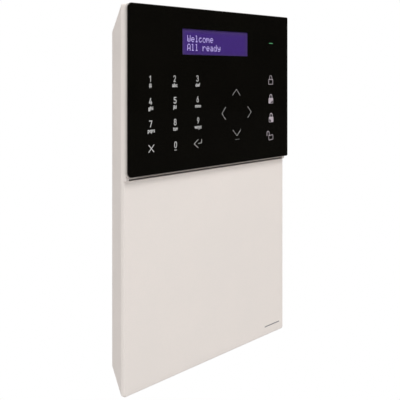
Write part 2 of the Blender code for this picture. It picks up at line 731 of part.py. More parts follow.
def build_strap():
    """Band over the front of the battery with a screwed foot at each end."""
    left, right = BATTERY_X0 - 0.5, BATTERY_X1 + 0.5
    thick, foot, half_width = 1.6, 9.0, 5.0
    foot_back, band_back = -5.3, -18.3
    foot_front, band_front = foot_back - thick, band_back - thick
    profile = [  # x, y
        (left - foot, foot_back), (left - foot, foot_front),
        (left - thick, foot_front), (left - thick, band_front),
        (right + thick, band_front), (right + thick, foot_front),
        (right + foot, foot_front), (right + foot, foot_back),
        (right, foot_back), (right, band_back),
        (left, band_back), (left, foot_back),
    ]
    ends = (STRAP_Z - half_width, STRAP_Z + half_width)
    strap = solid("battery_strap", GREY, skinned([[(x, y, z) for x, y in profile] for z in ends]))
    cut(strap, cylinders("Y", STRAP_SCREWS, -8.0, -4.0, 1.4, 16))
    for i, (x, z) in enumerate(STRAP_SCREWS, 1):
        screw(
            f"strap_screw_{i}", x, z, seat_y=-7.2, tip_y=-1.5,
            head_r=2.2, head_t=1.5, shaft_r=1.0,
        )


def build_lead(name, mat, x_top, x_low):
    """Wire from the battery plug down to the pack, in a gentle S."""
    y_top, y_low, z_top, drop = -11.4, -9.5, -25.0, 16.6
    steps = 12
    path = []
    for i in range(steps + 1):
        t = i / steps
        ease = t * t * (3 - 2 * t)
        path.append(
            (x_top + (x_low - x_top) * ease, y_top + (y_low - y_top) * ease, z_top - drop * t)
        )
    solid(name, mat, tube(path, radius=0.8, sides=8), smooth=SMOOTH)


# ---------------------------------------------------------------- siren, grommet, tamper switch
def build_siren():
    centre = (47.5, -66.0)
    siren = solid("siren", DARK, cylinders("Y", [centre], -11.0, -2.8, 12.5, 40), smooth=SMOOTH)
    cut(siren, cylinders("Y", [centre], -13.0, -9.0, 2.2))


def build_grommet():
    """Sleeve in the cable entry with a flange in front of the plate."""
    # radius, y
    profile = [(6.3, -0.3), (6.3, -2.8), (7.6, -2.8), (7.6, -4.6), (4.2, -4.6), (4.2, -0.3)]
    shape = revolved(profile, *GROMMET, steps=28, closed=True)
    solid("cable_grommet", RUBBER, shape, smooth=SMOOTH)


def build_tamper_switch():
    """Housing with a plunger that reaches the wall and a spring around the plunger's stem."""
    x, z = TAMPER
    body = boxes(around(x, z, 6.5, 5.6, -14.0, -2.8))
    housing = solid("tamper_housing", GREY, body, bevel=0.4)
    cut(housing, cylinders("Y", [TAMPER], -11.6, -1.0, 4.0, 28))
    cut(housing, cylinders("Y", [TAMPER], -16.0, -10.0, 1.5, 16))

    tip_y = -0.1
    tip = cylinders("Y", [TAMPER], -5.8, tip_y, 1.8)
    plunger = solid("tamper_plunger", DARK, tip, smooth=SMOOTH, origin=(x, tip_y, z))
    join(plunger, cylinders("Y", [TAMPER], -6.4, -5.2, 3.3, 24))  # collar
    join(plunger, cylinders("Y", [TAMPER], -13.6, -6.0, 1.0, 16))  # stem

    front, length = -11.0, 4.0
    stations = helix(turns=5, steps_per_turn=14, radius=2.3)
    path = [(x + cos, front + length * along, z + sin) for along, cos, sin in stations]
    solid("tamper_spring", STEEL, tube(path, radius=0.25, sides=6), smooth=SMOOTH)


# ---------------------------------------------------------------- ribbon
def build_ribbon():
    """Cable from the main connector: down, round a half turn and a little way up in front."""
    bend_y, bend_z, bend_r, steps = -13.3, 60.5, 3.4, 6
    half_thick, half_width = 0.15, 8.0
    centre_line = [(bend_y + bend_r, 65.6)]
    for i in range(steps + 1):
        a = math.pi * i / steps
        centre_line.append((bend_y + bend_r * math.cos(a), bend_z - bend_r * math.sin(a)))
    centre_line.append((bend_y - bend_r, 62.5))

    profile = []  # y, z: out along one face, back along the other
    for line in (centre_line, centre_line[::-1]):
        for k, (y, z) in enumerate(line):
            before = Vector(line[max(k - 1, 0)])
            after = Vector(line[min(k + 1, len(line) - 1)])
            along_y, along_z = (after - before).normalized()
            profile.append((y - along_z * half_thick, z + along_y * half_thick))
    ends = [[(x, y, z) for y, z in profile] for x in (-half_width, half_width)]
    solid("ribbon_cable", CABLE, skinned(ends))


# ---------------------------------------------------------------- assembly
# Pieces that swing with the cover hang on its hinge axis
build_front_cover()
build_carrier()
build_touch_glass()
build_sensor_board()
build_light_guide()
build_keypad_board()
build_display()
build_cover_screw()
hang_loose_pieces("cover_axis", (0, *HINGE))

# Everything else stays on the wall
build_rear_plate()
build_main_board()
build_sim()
build_coin_cell()
build_ethernet_jack()
build_terminal_block()
build_capacitors()
build_switches()
build_antenna()
build_battery()
build_strap()
build_lead("battery_lead_red", RED_WIRE, x_top=7.6, x_low=2.4)
build_lead("battery_lead_black", BLACK_WIRE, x_top=10.4, x_low=6.0)
build_siren()
build_grommet()
build_tamper_switch()
build_ribbon()
hang_loose_pieces("rear_frame", (0, 0, 0))
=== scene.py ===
import math
import random

import bmesh
import bpy
from mathutils import Matrix, Vector


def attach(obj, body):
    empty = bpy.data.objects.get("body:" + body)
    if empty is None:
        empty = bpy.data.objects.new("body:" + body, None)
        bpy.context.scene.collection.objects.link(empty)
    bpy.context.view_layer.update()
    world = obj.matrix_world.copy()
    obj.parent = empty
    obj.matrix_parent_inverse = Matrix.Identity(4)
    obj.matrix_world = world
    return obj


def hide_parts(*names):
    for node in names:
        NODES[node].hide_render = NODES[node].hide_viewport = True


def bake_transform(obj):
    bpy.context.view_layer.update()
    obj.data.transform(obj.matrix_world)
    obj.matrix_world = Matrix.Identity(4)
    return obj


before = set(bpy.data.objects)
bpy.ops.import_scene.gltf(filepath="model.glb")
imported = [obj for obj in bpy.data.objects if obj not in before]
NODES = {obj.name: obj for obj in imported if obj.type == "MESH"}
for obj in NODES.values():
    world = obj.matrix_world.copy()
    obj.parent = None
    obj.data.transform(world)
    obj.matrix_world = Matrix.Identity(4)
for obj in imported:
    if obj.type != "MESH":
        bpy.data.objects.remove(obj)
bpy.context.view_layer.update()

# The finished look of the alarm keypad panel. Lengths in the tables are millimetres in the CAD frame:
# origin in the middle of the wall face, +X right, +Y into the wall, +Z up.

MM = 0.001
random.seed(20571)


def srgb(r, g, b):
    """Linear colour of an 8-bit display colour."""
    out = []
    for c in (r, g, b):
        c /= 255.0
        out.append(c / 12.92 if c <= 0.04045 else ((c + 0.055) / 1.055) ** 2.4)
    return tuple(out)


def scaled(colour, k):
    return tuple(min(1.0, c * k) for c in colour)


# ------------------------------------------------------------------ materials
class Paint:
    """A node material whose textures run in millimetres of the piece's own frame."""

    def __init__(self, name):
        self.mat = bpy.data.materials.new(name)
        self.mat.use_nodes = True
        self.tree = self.mat.node_tree
        self.shader = self.tree.nodes["Principled BSDF"]
        self.output = self.tree.nodes["Material Output"]
        coord = self.node("ShaderNodeTexCoord")
        scale = self.node("ShaderNodeVectorMath", operation="SCALE")
        self.tree.links.new(coord.outputs["Object"], scale.inputs[0])
        scale.inputs["Scale"].default_value = 1.0 / MM
        self.mm = scale.outputs[0]

    def node(self, kind, **props):
        made = self.tree.nodes.new(kind)
        for k, v in props.items():
            setattr(made, k, v)
        return made

    def put(self, socket, value):
        if isinstance(value, bpy.types.NodeSocket):
            self.tree.links.new(value, socket)
        elif isinstance(value, tuple) and len(value) == 3 and socket.type == "RGBA":
            socket.default_value = (*value, 1.0)
        else:
            socket.default_value = value

    def math(self, op, a, b=0.0, clamp=False):
        n = self.node("ShaderNodeMath", operation=op, use_clamp=clamp)
        self.put(n.inputs[0], a)
        self.put(n.inputs[1], b)
        return n.outputs[0]

    def vector(self, op, a, b=(0.0, 0.0, 0.0)):
        n = self.node("ShaderNodeVectorMath", operation=op)
        self.put(n.inputs[0], a)
        self.put(n.inputs[1], b)
        return n.outputs["Value"] if op == "DOT_PRODUCT" else n.outputs[0]

    def stretched(self, stretch):
        return self.vector("MULTIPLY", self.mm, stretch)

    def noise(self, scale, detail=3.0, rough=0.55, stretch=None, distortion=0.0):
        n = self.node("ShaderNodeTexNoise")
        self.put(n.inputs["Vector"], self.mm if stretch is None else self.stretched(stretch))
        n.inputs["Scale"].default_value = scale
        n.inputs["Detail"].default_value = detail
        n.inputs["Roughness"].default_value = rough
        n.inputs["Distortion"].default_value = distortion
        return n.outputs[0]

    def voronoi(self, scale, feature="F1", metric="EUCLIDEAN", out=0, stretch=None):
        n = self.node("ShaderNodeTexVoronoi", feature=feature)
        if feature != "DISTANCE_TO_EDGE":
            n.distance = metric
        self.put(n.inputs["Vector"], self.mm if stretch is None else self.stretched(stretch))
        n.inputs["Scale"].default_value = scale
        return n.outputs[out]

    def wave(self, per_mm, axis="X", kind="BANDS", distortion=0.0):
        """A sine of the given number of waves per millimetre."""
        n = self.node("ShaderNodeTexWave", wave_type=kind)
        if kind == "BANDS":
            n.bands_direction = axis
        self.put(n.inputs["Vector"], self.mm)
        n.inputs["Scale"].default_value = per_mm * math.pi / 10.0
        n.inputs["Distortion"].default_value = distortion
        n.inputs["Detail"].default_value = 0.0
        return n.outputs[1]

    def axis(self, i):
        n = self.node("ShaderNodeSeparateXYZ")
        self.put(n.inputs[0], self.mm)
        return n.outputs[i]

    def span(self, value, lo, hi, out_lo=0.0, out_hi=1.0, smooth=False):
        n = self.node("ShaderNodeMapRange", interpolation_type="SMOOTHSTEP" if smooth else "LINEAR")
        self.put(n.inputs["Value"], value)
        n.inputs["From Min"].default_value = lo
        n.inputs["From Max"].default_value = hi
        n.inputs["To Min"].default_value = out_lo
        n.inputs["To Max"].default_value = out_hi
        return n.outputs[0]

    def mix(self, factor, a, b, blend="MIX"):
        n = self.node("ShaderNodeMix", data_type="RGBA", blend_type=blend)
        self.put(n.inputs[0], factor)
        self.put(n.inputs[6], a)
        self.put(n.inputs[7], b)
        return n.outputs[2]

    def rounded_normal(self, radius):
        n = self.node("ShaderNodeBevel", samples=4)
        n.inputs["Radius"].default_value = radius * MM
        return n.outputs[0]

    def edge(self, rounded, low=0.997, high=0.93):
        """1 along edges, 0 on flat faces."""
        geometry = self.node("ShaderNodeNewGeometry")
        return self.span(self.vector("DOT_PRODUCT", rounded, geometry.outputs["Normal"]), low, high)

    def bump(self, height, depth, normal=None):
        n = self.node("ShaderNodeBump")
        n.inputs["Strength"].default_value = 1.0
        n.inputs["Distance"].default_value = depth * MM
        self.put(n.inputs["Height"], height)
        if normal is not None:
            self.put(n.inputs["Normal"], normal)
        return n.outputs[0]

    def set(self, **values):
        for k, v in values.items():
            self.put(self.shader.inputs[k.replace("_", " ")], v)
        return self


def surface(
    name, colour, rough=0.5, metal=0.0, vary=0.05, blotch=0.035, grain=1.4, depth=0.004,
    worn=0.2, bevel=0.25, rough_vary=0.05, tint=None, stretch=None, coat=0.0, spec=0.5, fleck=0.0, base=None,
):  # fmt: skip
    """Moulded, stamped or sprayed surface: cloudy tone, fine grain, worn rounded edges, uneven gloss."""
    p = Paint(name)
    cloud = p.noise(blotch, 4.0, 0.6, stretch)
    fine = p.noise(grain * 0.5, 2.0, 0.5, stretch)
    tone = p.math("ADD", p.math("MULTIPLY", cloud, 0.62), p.math("MULTIPLY", fine, 0.38))
    low = scaled(colour, 1.0 - vary)
    high = scaled(colour if tint is None else tint, 1.0 + vary)
    shade = p.mix(p.span(tone, 0.36, 0.64, smooth=True), low, high)
    if base is not None:
        shade = base(p, shade)
    if fleck:
        dots = p.span(p.voronoi(grain * 0.9), 0.10, 0.20, 1.0, 0.0)
        shade = p.mix(p.math("MULTIPLY", dots, fleck), shade, scaled(colour, 0.6))
    normal = p.rounded_normal(bevel)
    edge = p.edge(normal)
    rub = p.math("MULTIPLY", edge, p.span(p.noise(0.25, 2.0), 0.35, 0.65, 0.3, 1.0))
    light = tuple(c + (1.0 - c) * 0.35 for c in colour)
    shade = p.mix(p.math("MULTIPLY", rub, worn), shade, light)
    gloss = p.span(p.noise(blotch * 3.1, 3.0, 0.6, stretch), 0.3, 0.7, rough - rough_vary, rough + rough_vary)
    gloss = p.math("SUBTRACT", gloss, p.math("MULTIPLY", rub, 0.08), clamp=True)
    height = p.noise(grain, 3.0, 0.6, stretch)
    p.set(Base_Color=shade, Roughness=gloss, Metallic=metal, Normal=p.bump(height, depth, normal))
    p.shader.inputs["Specular IOR Level"].default_value = spec
    if coat:
        p.shader.inputs["Coat Weight"].default_value = coat
        p.shader.inputs["Coat Roughness"].default_value = 0.12
    return p


WHITE_BASE = (0.860, 0.806, 0.768)
case_paint = surface(
    "warm_white_abs", WHITE_BASE, rough=0.46, vary=0.012, blotch=0.02, grain=2.6, depth=0.0035,
    worn=0.10, bevel=0.35, rough_vary=0.04, tint=(0.862, 0.802, 0.762), spec=0.35,
)  # fmt: skip
plate_paint = surface(
    "grained_white_abs", (0.80, 0.765, 0.735), rough=0.55, vary=0.022, grain=2.0, depth=0.008, worn=0.12, spec=0.35
)


def carrier_lip_light_and_gap_shade(p, shade):
    """Painted light and shade: the lip that shows below the glass is painted pale as if lit, paler towards its left
    end; the tray behind it is dark, painted shade in the gap under the glass.
    """
    flow = p.noise(0.05, 2.0, 0.5, (1.0, 1.0, 5.0))
    shade = p.mix(p.span(flow, 0.4, 0.7, 0.0, 0.25), shade, (0.055, 0.053, 0.051))
    lip = p.mix(p.span(p.axis(0), -71.5, -64.0, smooth=True), (0.58, 0.54, 0.51), (0.39, 0.345, 0.315))
    return p.mix(p.span(p.axis(1), -25.5, -25.2), lip, shade)


# The carrier's colours hold painted light on the lip and painted shade in the gap below the glass.
carrier_paint = surface(
    "carrier_abs_painted_light_and_shade", (0.062, 0.059, 0.057), rough=0.5, vary=0.06, grain=2.4, depth=0.005, worn=0.15, base=carrier_lip_light_and_gap_shade
)
grey_paint = surface("grey_abs", (0.27, 0.27, 0.28), rough=0.55, vary=0.05, grain=2.2, depth=0.008, worn=0.25)
dark_paint = surface("dark_abs", (0.045, 0.043, 0.042), rough=0.5, vary=0.12, grain=2.4, depth=0.006, worn=0.18)
light_paint = surface(
    "cream_nylon", (0.78, 0.75, 0.66), rough=0.42, vary=0.03, grain=1.6, depth=0.004, worn=0.1, tint=(0.80, 0.78, 0.70)
)
steel_paint = surface(
    "bright_zinc_steel", (0.62, 0.62, 0.63), rough=0.3, metal=1.0, vary=0.07, grain=3.0, depth=0.002, worn=0.3, tint=(0.66, 0.64, 0.58)
)
tin_paint = surface(
    "tinned_steel", (0.60, 0.60, 0.585), rough=0.32, metal=1.0, vary=0.06, grain=1.1, depth=0.003, worn=0.35,
    stretch=(1.0, 1.0, 0.18),
)  # fmt: skip
gold_paint = surface("gold_contact", (0.80, 0.56, 0.22), rough=0.28, metal=1.0, vary=0.06, grain=3.0, depth=0.001, worn=0.1)
copper_paint = surface("copper_wire", (0.70, 0.33, 0.17), rough=0.3, metal=1.0, vary=0.1, grain=2.0, depth=0.002, worn=0.1)
solder_paint = surface("solder", (0.66, 0.66, 0.65), rough=0.26, metal=1.0, vary=0.08, grain=1.5, depth=0.004, worn=0.1)
chip_paint = surface("chip_epoxy", (0.022, 0.022, 0.023), rough=0.52, vary=0.2, grain=3.2, depth=0.005, worn=0.25, fleck=0.3)
rubber_paint = surface("black_rubber", (0.020, 0.020, 0.020), rough=0.78, vary=0.15, grain=1.8, depth=0.01, worn=0.2, spec=0.3)
ceramic_paint = surface("chip_ceramic", (0.32, 0.22, 0.14), rough=0.45, vary=0.15, grain=2.0, depth=0.003, worn=0.1)
relay_paint = surface("relay_case", (0.045, 0.13, 0.36), rough=0.35, vary=0.06, grain=1.5, depth=0.004, worn=0.2)
ferrite_paint = surface("ferrite", (0.055, 0.053, 0.052), rough=0.7, vary=0.2, grain=2.5, depth=0.012, worn=0.3, fleck=0.4)
red_paint = surface("red_wire", (0.48, 0.03, 0.022), rough=0.4, vary=0.08, grain=1.2, depth=0.004, worn=0.1)
black_wire_paint = surface("black_wire", (0.020, 0.020, 0.021), rough=0.4, vary=0.15, grain=1.2, depth=0.004, worn=0.1)
silk_paint = surface("board_ink", (0.72, 0.72, 0.68), rough=0.6, vary=0.05, grain=3.0, depth=0.001, worn=0.0, bevel=0.02)
sim_paint = surface("sim_card_plastic", (0.80, 0.80, 0.79), rough=0.38, vary=0.02, grain=1.5, depth=0.001, worn=0.1)
block_paint = surface("terminal_green", (0.035, 0.25, 0.075), rough=0.42, vary=0.06, grain=1.8, depth=0.005, worn=0.2)
inner_tin_paint = surface("contact_spring", (0.60, 0.55, 0.42), rough=0.25, metal=1.0, vary=0.05, grain=2.0, depth=0.001)
label_paint = surface("label_film", (0.66, 0.66, 0.65), rough=0.32, vary=0.02, grain=1.4, depth=0.001, worn=0.05, bevel=0.03)
label_ink_paint = surface("label_print", (0.10, 0.10, 0.105), rough=0.5, vary=0.08, grain=2.4, depth=0.001, worn=0.0, bevel=0.02)
card_paint = surface("insulating_card", (0.62, 0.56, 0.42), rough=0.75, vary=0.06, grain=2.0, depth=0.01, worn=0.1)


def board_base(mask, raised):
    """Solder mask over copper tracks: bundles of fine tracks that run one way or the other by area."""

    def build(p, shade):
        region = p.voronoi(0.055, out=1, metric="CHEBYCHEV")
        pick = p.node("ShaderNodeSeparateColor")
        p.put(pick.inputs[0], region)
        along_x = p.span(p.wave(0.62, "Z"), 0.62, 0.70)
        along_z = p.span(p.wave(0.62, "X"), 0.62, 0.70)
        which = p.span(pick.outputs[0], 0.49, 0.51)
        lines = p.math("ADD", p.math("MULTIPLY", along_x, which), p.math("MULTIPLY", along_z, p.math("SUBTRACT", 1.0, which)))
        busy = p.span(pick.outputs[1], 0.35, 0.36)
        lines = p.math("MULTIPLY", lines, busy)
        gap = p.span(p.voronoi(0.055, "DISTANCE_TO_EDGE"), 0.012, 0.016)
        lines = p.math("MAXIMUM", p.math("MULTIPLY", lines, gap), p.math("MULTIPLY", p.math("SUBTRACT", 1.0, busy), gap))
        vias = p.voronoi(0.16)
        ring = p.math("MULTIPLY", p.span(vias, 0.085, 0.095, 1.0, 0.0), p.span(vias, 0.040, 0.050))
        shade = p.mix(lines, shade, raised)
        return p.mix(ring, shade, mask)

    return build


pcb_paint = surface(
    "green_board", (0.012, 0.085, 0.036), rough=0.34, vary=0.08, grain=1.6, depth=0.004, worn=0.25, coat=0.3,
    base=board_base((0.42, 0.36, 0.22), (0.022, 0.15, 0.062)),
)  # fmt: skip
black_pcb_paint = surface(
    "black_board", (0.012, 0.012, 0.014), rough=0.36, vary=0.1, grain=1.6, depth=0.004, worn=0.2, coat=0.3,
    base=board_base((0.30, 0.26, 0.18), (0.028, 0.028, 0.032)),
)  # fmt: skip
track_paint = surface("masked_track", (0.024, 0.17, 0.070), rough=0.32, vary=0.08, grain=1.6, depth=0.002, worn=0.0, coat=0.3, bevel=0.02)


def inside_edge(p):
    """Signed distance to the glass's rounded outline, negative inside; its left corners are rounder."""
    x, z = p.axis(0), p.math("SUBTRACT", p.axis(2), 65.63)
    radius = p.span(x, -1.0, 1.0, 3.7, 1.1)
    qx = p.math("ADD", p.math("SUBTRACT", p.math("ABSOLUTE", x), 78.0), radius)
    qz = p.math("ADD", p.math("SUBTRACT", p.math("ABSOLUTE", z), 52.13), radius)
    px, pz = p.math("MAXIMUM", qx, 0.0), p.math("MAXIMUM", qz, 0.0)
    outer = p.math("SQRT", p.math("ADD", p.math("MULTIPLY", px, px), p.math("MULTIPLY", pz, pz)))
    inner = p.math("MINIMUM", p.math("MAXIMUM", qx, qz), 0.0)
    return p.math("SUBTRACT", p.math("ADD", outer, inner), radius)


def glass_paint():
    """Back-printed black glass: deep black, polished, with faint wiping marks in the gloss, and painted light on its
    side faces: pale at the back, fading to black at the front.
    """
    p = Paint("black_touch_glass")
    cloud = p.noise(0.03, 4.0, 0.6)
    wipe = p.noise(0.06, 3.0, 0.7, (1.0, 1.0, 0.25), 0.6)
    colour = p.mix(p.span(cloud, 0.35, 0.65), (0.0031, 0.0028, 0.0021), (0.0038, 0.0034, 0.0025))
    normal = p.rounded_normal(0.2)
    edge = p.edge(normal, 0.998, 0.90)
    colour = p.mix(p.math("MULTIPLY", edge, 0.5), colour, (0.006, 0.006, 0.006))
    # Painted light: the glass's side faces are pale towards the back and fade to black at the front.
    side = p.span(inside_edge(p), -0.45, -0.03)
    painted_edge_light = p.span(p.axis(1), -29.3, -27.4, 0.0, 1.0, smooth=True)
    colour = p.mix(p.math("MULTIPLY", side, painted_edge_light), colour, (0.66, 0.62, 0.585))
    gloss = p.span(wipe, 0.35, 0.75, 0.035, 0.085)
    p.set(Base_Color=colour, Roughness=gloss, Normal=p.bump(p.noise(0.02, 1.0), 0.002, normal))
    p.shader.inputs["Specular IOR Level"].default_value = 0.42
    return p


def lit_paint(name, colour, glow, strength, vary=0.05, rough=0.35, grid=None):
    """A back-lit area. The colour carries the pattern and the glow is even."""
    p = Paint(name)
    cloud = p.noise(0.4, 2.0)
    shade = p.mix(p.span(cloud, 0.35, 0.65), scaled(colour, 1.0 - vary), scaled(colour, 1.0 + vary))
    if grid is not None:
        shade = grid(p, shade)
    p.set(Base_Color=shade, Roughness=p.span(p.noise(0.8, 2.0), 0.3, 0.7, rough - 0.04, rough + 0.04))
    p.shader.inputs["Emission Color"].default_value = (*glow, 1.0)
    p.shader.inputs["Emission Strength"].default_value = strength
    return p


glass_finish = glass_paint()
legend_paint = lit_paint("key_legend", (0.41, 0.41, 0.41), (1.0, 0.99, 0.98), 0.21)
faint_paint = lit_paint("faint_legend", (0.10, 0.10, 0.10), (1.0, 0.99, 0.98), 0.04)
lock_paint = lit_paint("lock_legend", (0.42, 0.37, 0.41), (1.0, 0.90, 0.97), 0.23)
lock_fill_paint = lit_paint("lock_fill", (0.30, 0.26, 0.29), (1.0, 0.90, 0.97), 0.14)
status_paint = lit_paint("status_green", (0.08, 0.28, 0.13), (0.22, 1.0, 0.42), 0.22)


def lcd_grid(p, shade):
    """Faint dots of the two character rows, and a greyer, uneven border where the back-light leaks."""
    dots = p.math("MULTIPLY", p.span(p.wave(1 / 0.592, "X"), 0.2, 0.5), p.span(p.wave(1 / 0.63, "Z"), 0.2, 0.5))
    shade = p.mix(p.math("MULTIPLY", dots, 0.10), shade, (0.020, 0.006, 0.10))
    x, z = p.axis(0), p.axis(2)
    top = p.span(z, 100.6, 104.2, 0.0, 0.75, smooth=True)
    low = p.span(z, 89.4, 87.6, 0.0, 0.55, smooth=True)
    left = p.span(x, -28.5, -32.3, 0.0, 0.8, smooth=True)
    right = p.span(x, 28.4, 31.4, 0.0, 0.7, smooth=True)
    leak = p.math("MAXIMUM", p.math("MAXIMUM", top, low), p.math("MAXIMUM", left, right))
    leak = p.math("MULTIPLY", leak, p.span(p.noise(0.12, 2.0), 0.3, 0.7, 0.6, 1.0))
    shade = p.mix(leak, shade, (0.074, 0.052, 0.120))
    rim = p.math("MAXIMUM", p.span(x, -31.7, -32.4, 0.0, 0.7), p.span(z, 103.5, 104.2, 0.0, 0.55))
    return p.mix(rim, shade, (0.030, 0.016, 0.090))


lcd_paint = lit_paint("lcd_backlit", (0.056, 0.022, 0.190), (0.052, 0.021, 0.190), 0.20, grid=lcd_grid)
lcd_dot_paint = lit_paint("lcd_dot", (0.56, 0.47, 0.82), (0.60, 0.50, 0.95), 0.34)


def pane_paint():
    """Clear window in front of the display: passes light, mirrors a little."""
    p = Paint("clear_window")
    clear = p.node("ShaderNodeBsdfTransparent")
    clear.inputs["Color"].default_value = (0.98, 0.98, 0.99, 1.0)
    shine = p.node("ShaderNodeBsdfGlossy")
    shine.inputs["Color"].default_value = (0.9, 0.9, 0.9, 1.0)
    p.put(shine.inputs["Roughness"], p.span(p.noise(0.08, 3.0), 0.35, 0.75, 0.03, 0.08))
    fresnel = p.node("ShaderNodeFresnel")
    fresnel.inputs["IOR"].default_value = 1.45
    side = p.node("ShaderNodeNewGeometry")
    front = p.math("SUBTRACT", 1.0, side.outputs["Backfacing"])
    both = p.node("ShaderNodeMixShader")
    p.tree.links.new(p.math("MULTIPLY", fresnel.outputs[0], front), both.inputs[0])
    p.tree.links.new(clear.outputs[0], both.inputs[1])
    p.tree.links.new(shine.outputs[0], both.inputs[2])
    p.tree.links.new(both.outputs[0], p.output.inputs[0])
    return p


pane_finish = pane_paint()


def wrap_base(p, shade):
    """Heat-shrink film: fine cross wrinkles in tone."""
    wrinkle = p.noise(0.5, 4.0, 0.7, (1.0, 1.0, 0.12), 0.4)
    shade = p.mix(p.span(wrinkle, 0.45, 0.75, 0.0, 0.4), shade, (0.012, 0.085, 0.17))
    return shade


wrap_paint = surface(
    "battery_shrink_film", (0.028, 0.15, 0.30), rough=0.24, vary=0.08, grain=0.7, depth=0.03, worn=0.25,
    stretch=(1.0, 1.0, 0.3), coat=0.5, base=wrap_base,
)  # fmt: skip


def sleeve_base(p, shade):
    stripe = p.math("MULTIPLY", p.span(p.axis(0), -1.6, -1.5, 1.0, 0.0), p.span(p.wave(0.4, "Y"), 0.35, 0.45))
    return p.mix(stripe, shade, (0.45, 0.45, 0.47))


sleeve_paint = surface(
    "capacitor_sleeve", (0.022, 0.022, 0.045), rough=0.26, vary=0.1, grain=0.9, depth=0.006, worn=0.2, coat=0.4, base=sleeve_base
)


def weave(p, shade):
    """Woven strap: warp and weft one over the other."""
    warp, weft = p.wave(1.1, "Z"), p.wave(0.85, "X")
    over = p.span(p.math("MULTIPLY", p.math("SUBTRACT", warp, 0.5), p.math("SUBTRACT", weft, 0.5)), -0.05, 0.05)
    return p.mix(over, scaled((0.050, 0.050, 0.054), 0.6), (0.085, 0.085, 0.090))


strap_paint = surface("woven_strap", (0.07, 0.07, 0.075), rough=0.8, vary=0.15, grain=1.8, depth=0.05, worn=0.3, base=weave, spec=0.2)


def ribbon_base(p, shade):
    # Painted shade: the grey is darker in the valleys between the cores.
    cores = p.span(p.wave(1.0, "X"), 0.1, 0.5)
    shade = p.mix(p.math("SUBTRACT", 0.35, p.math("MULTIPLY", cores, 0.35)), shade, (0.26, 0.26, 0.26))
    red = p.span(p.axis(0), -7.05, -6.95, 1.0, 0.0)
    return p.mix(red, shade, (0.50, 0.05, 0.04))


ribbon_paint = surface("ribbon_cable", (0.55, 0.55, 0.53), rough=0.42, vary=0.04, grain=1.0, depth=0.003, worn=0.05, base=ribbon_base)


# ------------------------------------------------------------------ shapes
def rounded(x0, x1, z0, z1, radius, steps=8, corners=(1, 1, 1, 1)):
    """Outline of a rounded rectangle, from the right side's top corner round to the right side's bottom one."""
    points = []
    for cx, cz, start, on in (
        (x1, z1, 0, corners[0]), (x0, z1, 90, corners[1]), (x0, z0, 180, corners[2]), (x1, z0, 270, corners[3]),
    ):  # fmt: skip
        if not on:
            points.append((cx, cz))
            continue
        mx = cx - radius if cx == x1 else cx + radius
        mz = cz - radius if cz == z1 else cz + radius
        for i in range(steps + 1):
            a = math.radians(start + 90 * i / steps)
            points.append((mx + radius * math.cos(a), mz + radius * math.sin(a)))
    return points


def circle(x, z, r, steps=32):
    return [(x + r * math.cos(2 * math.pi * i / steps), z + r * math.sin(2 * math.pi * i / steps)) for i in range(steps)]


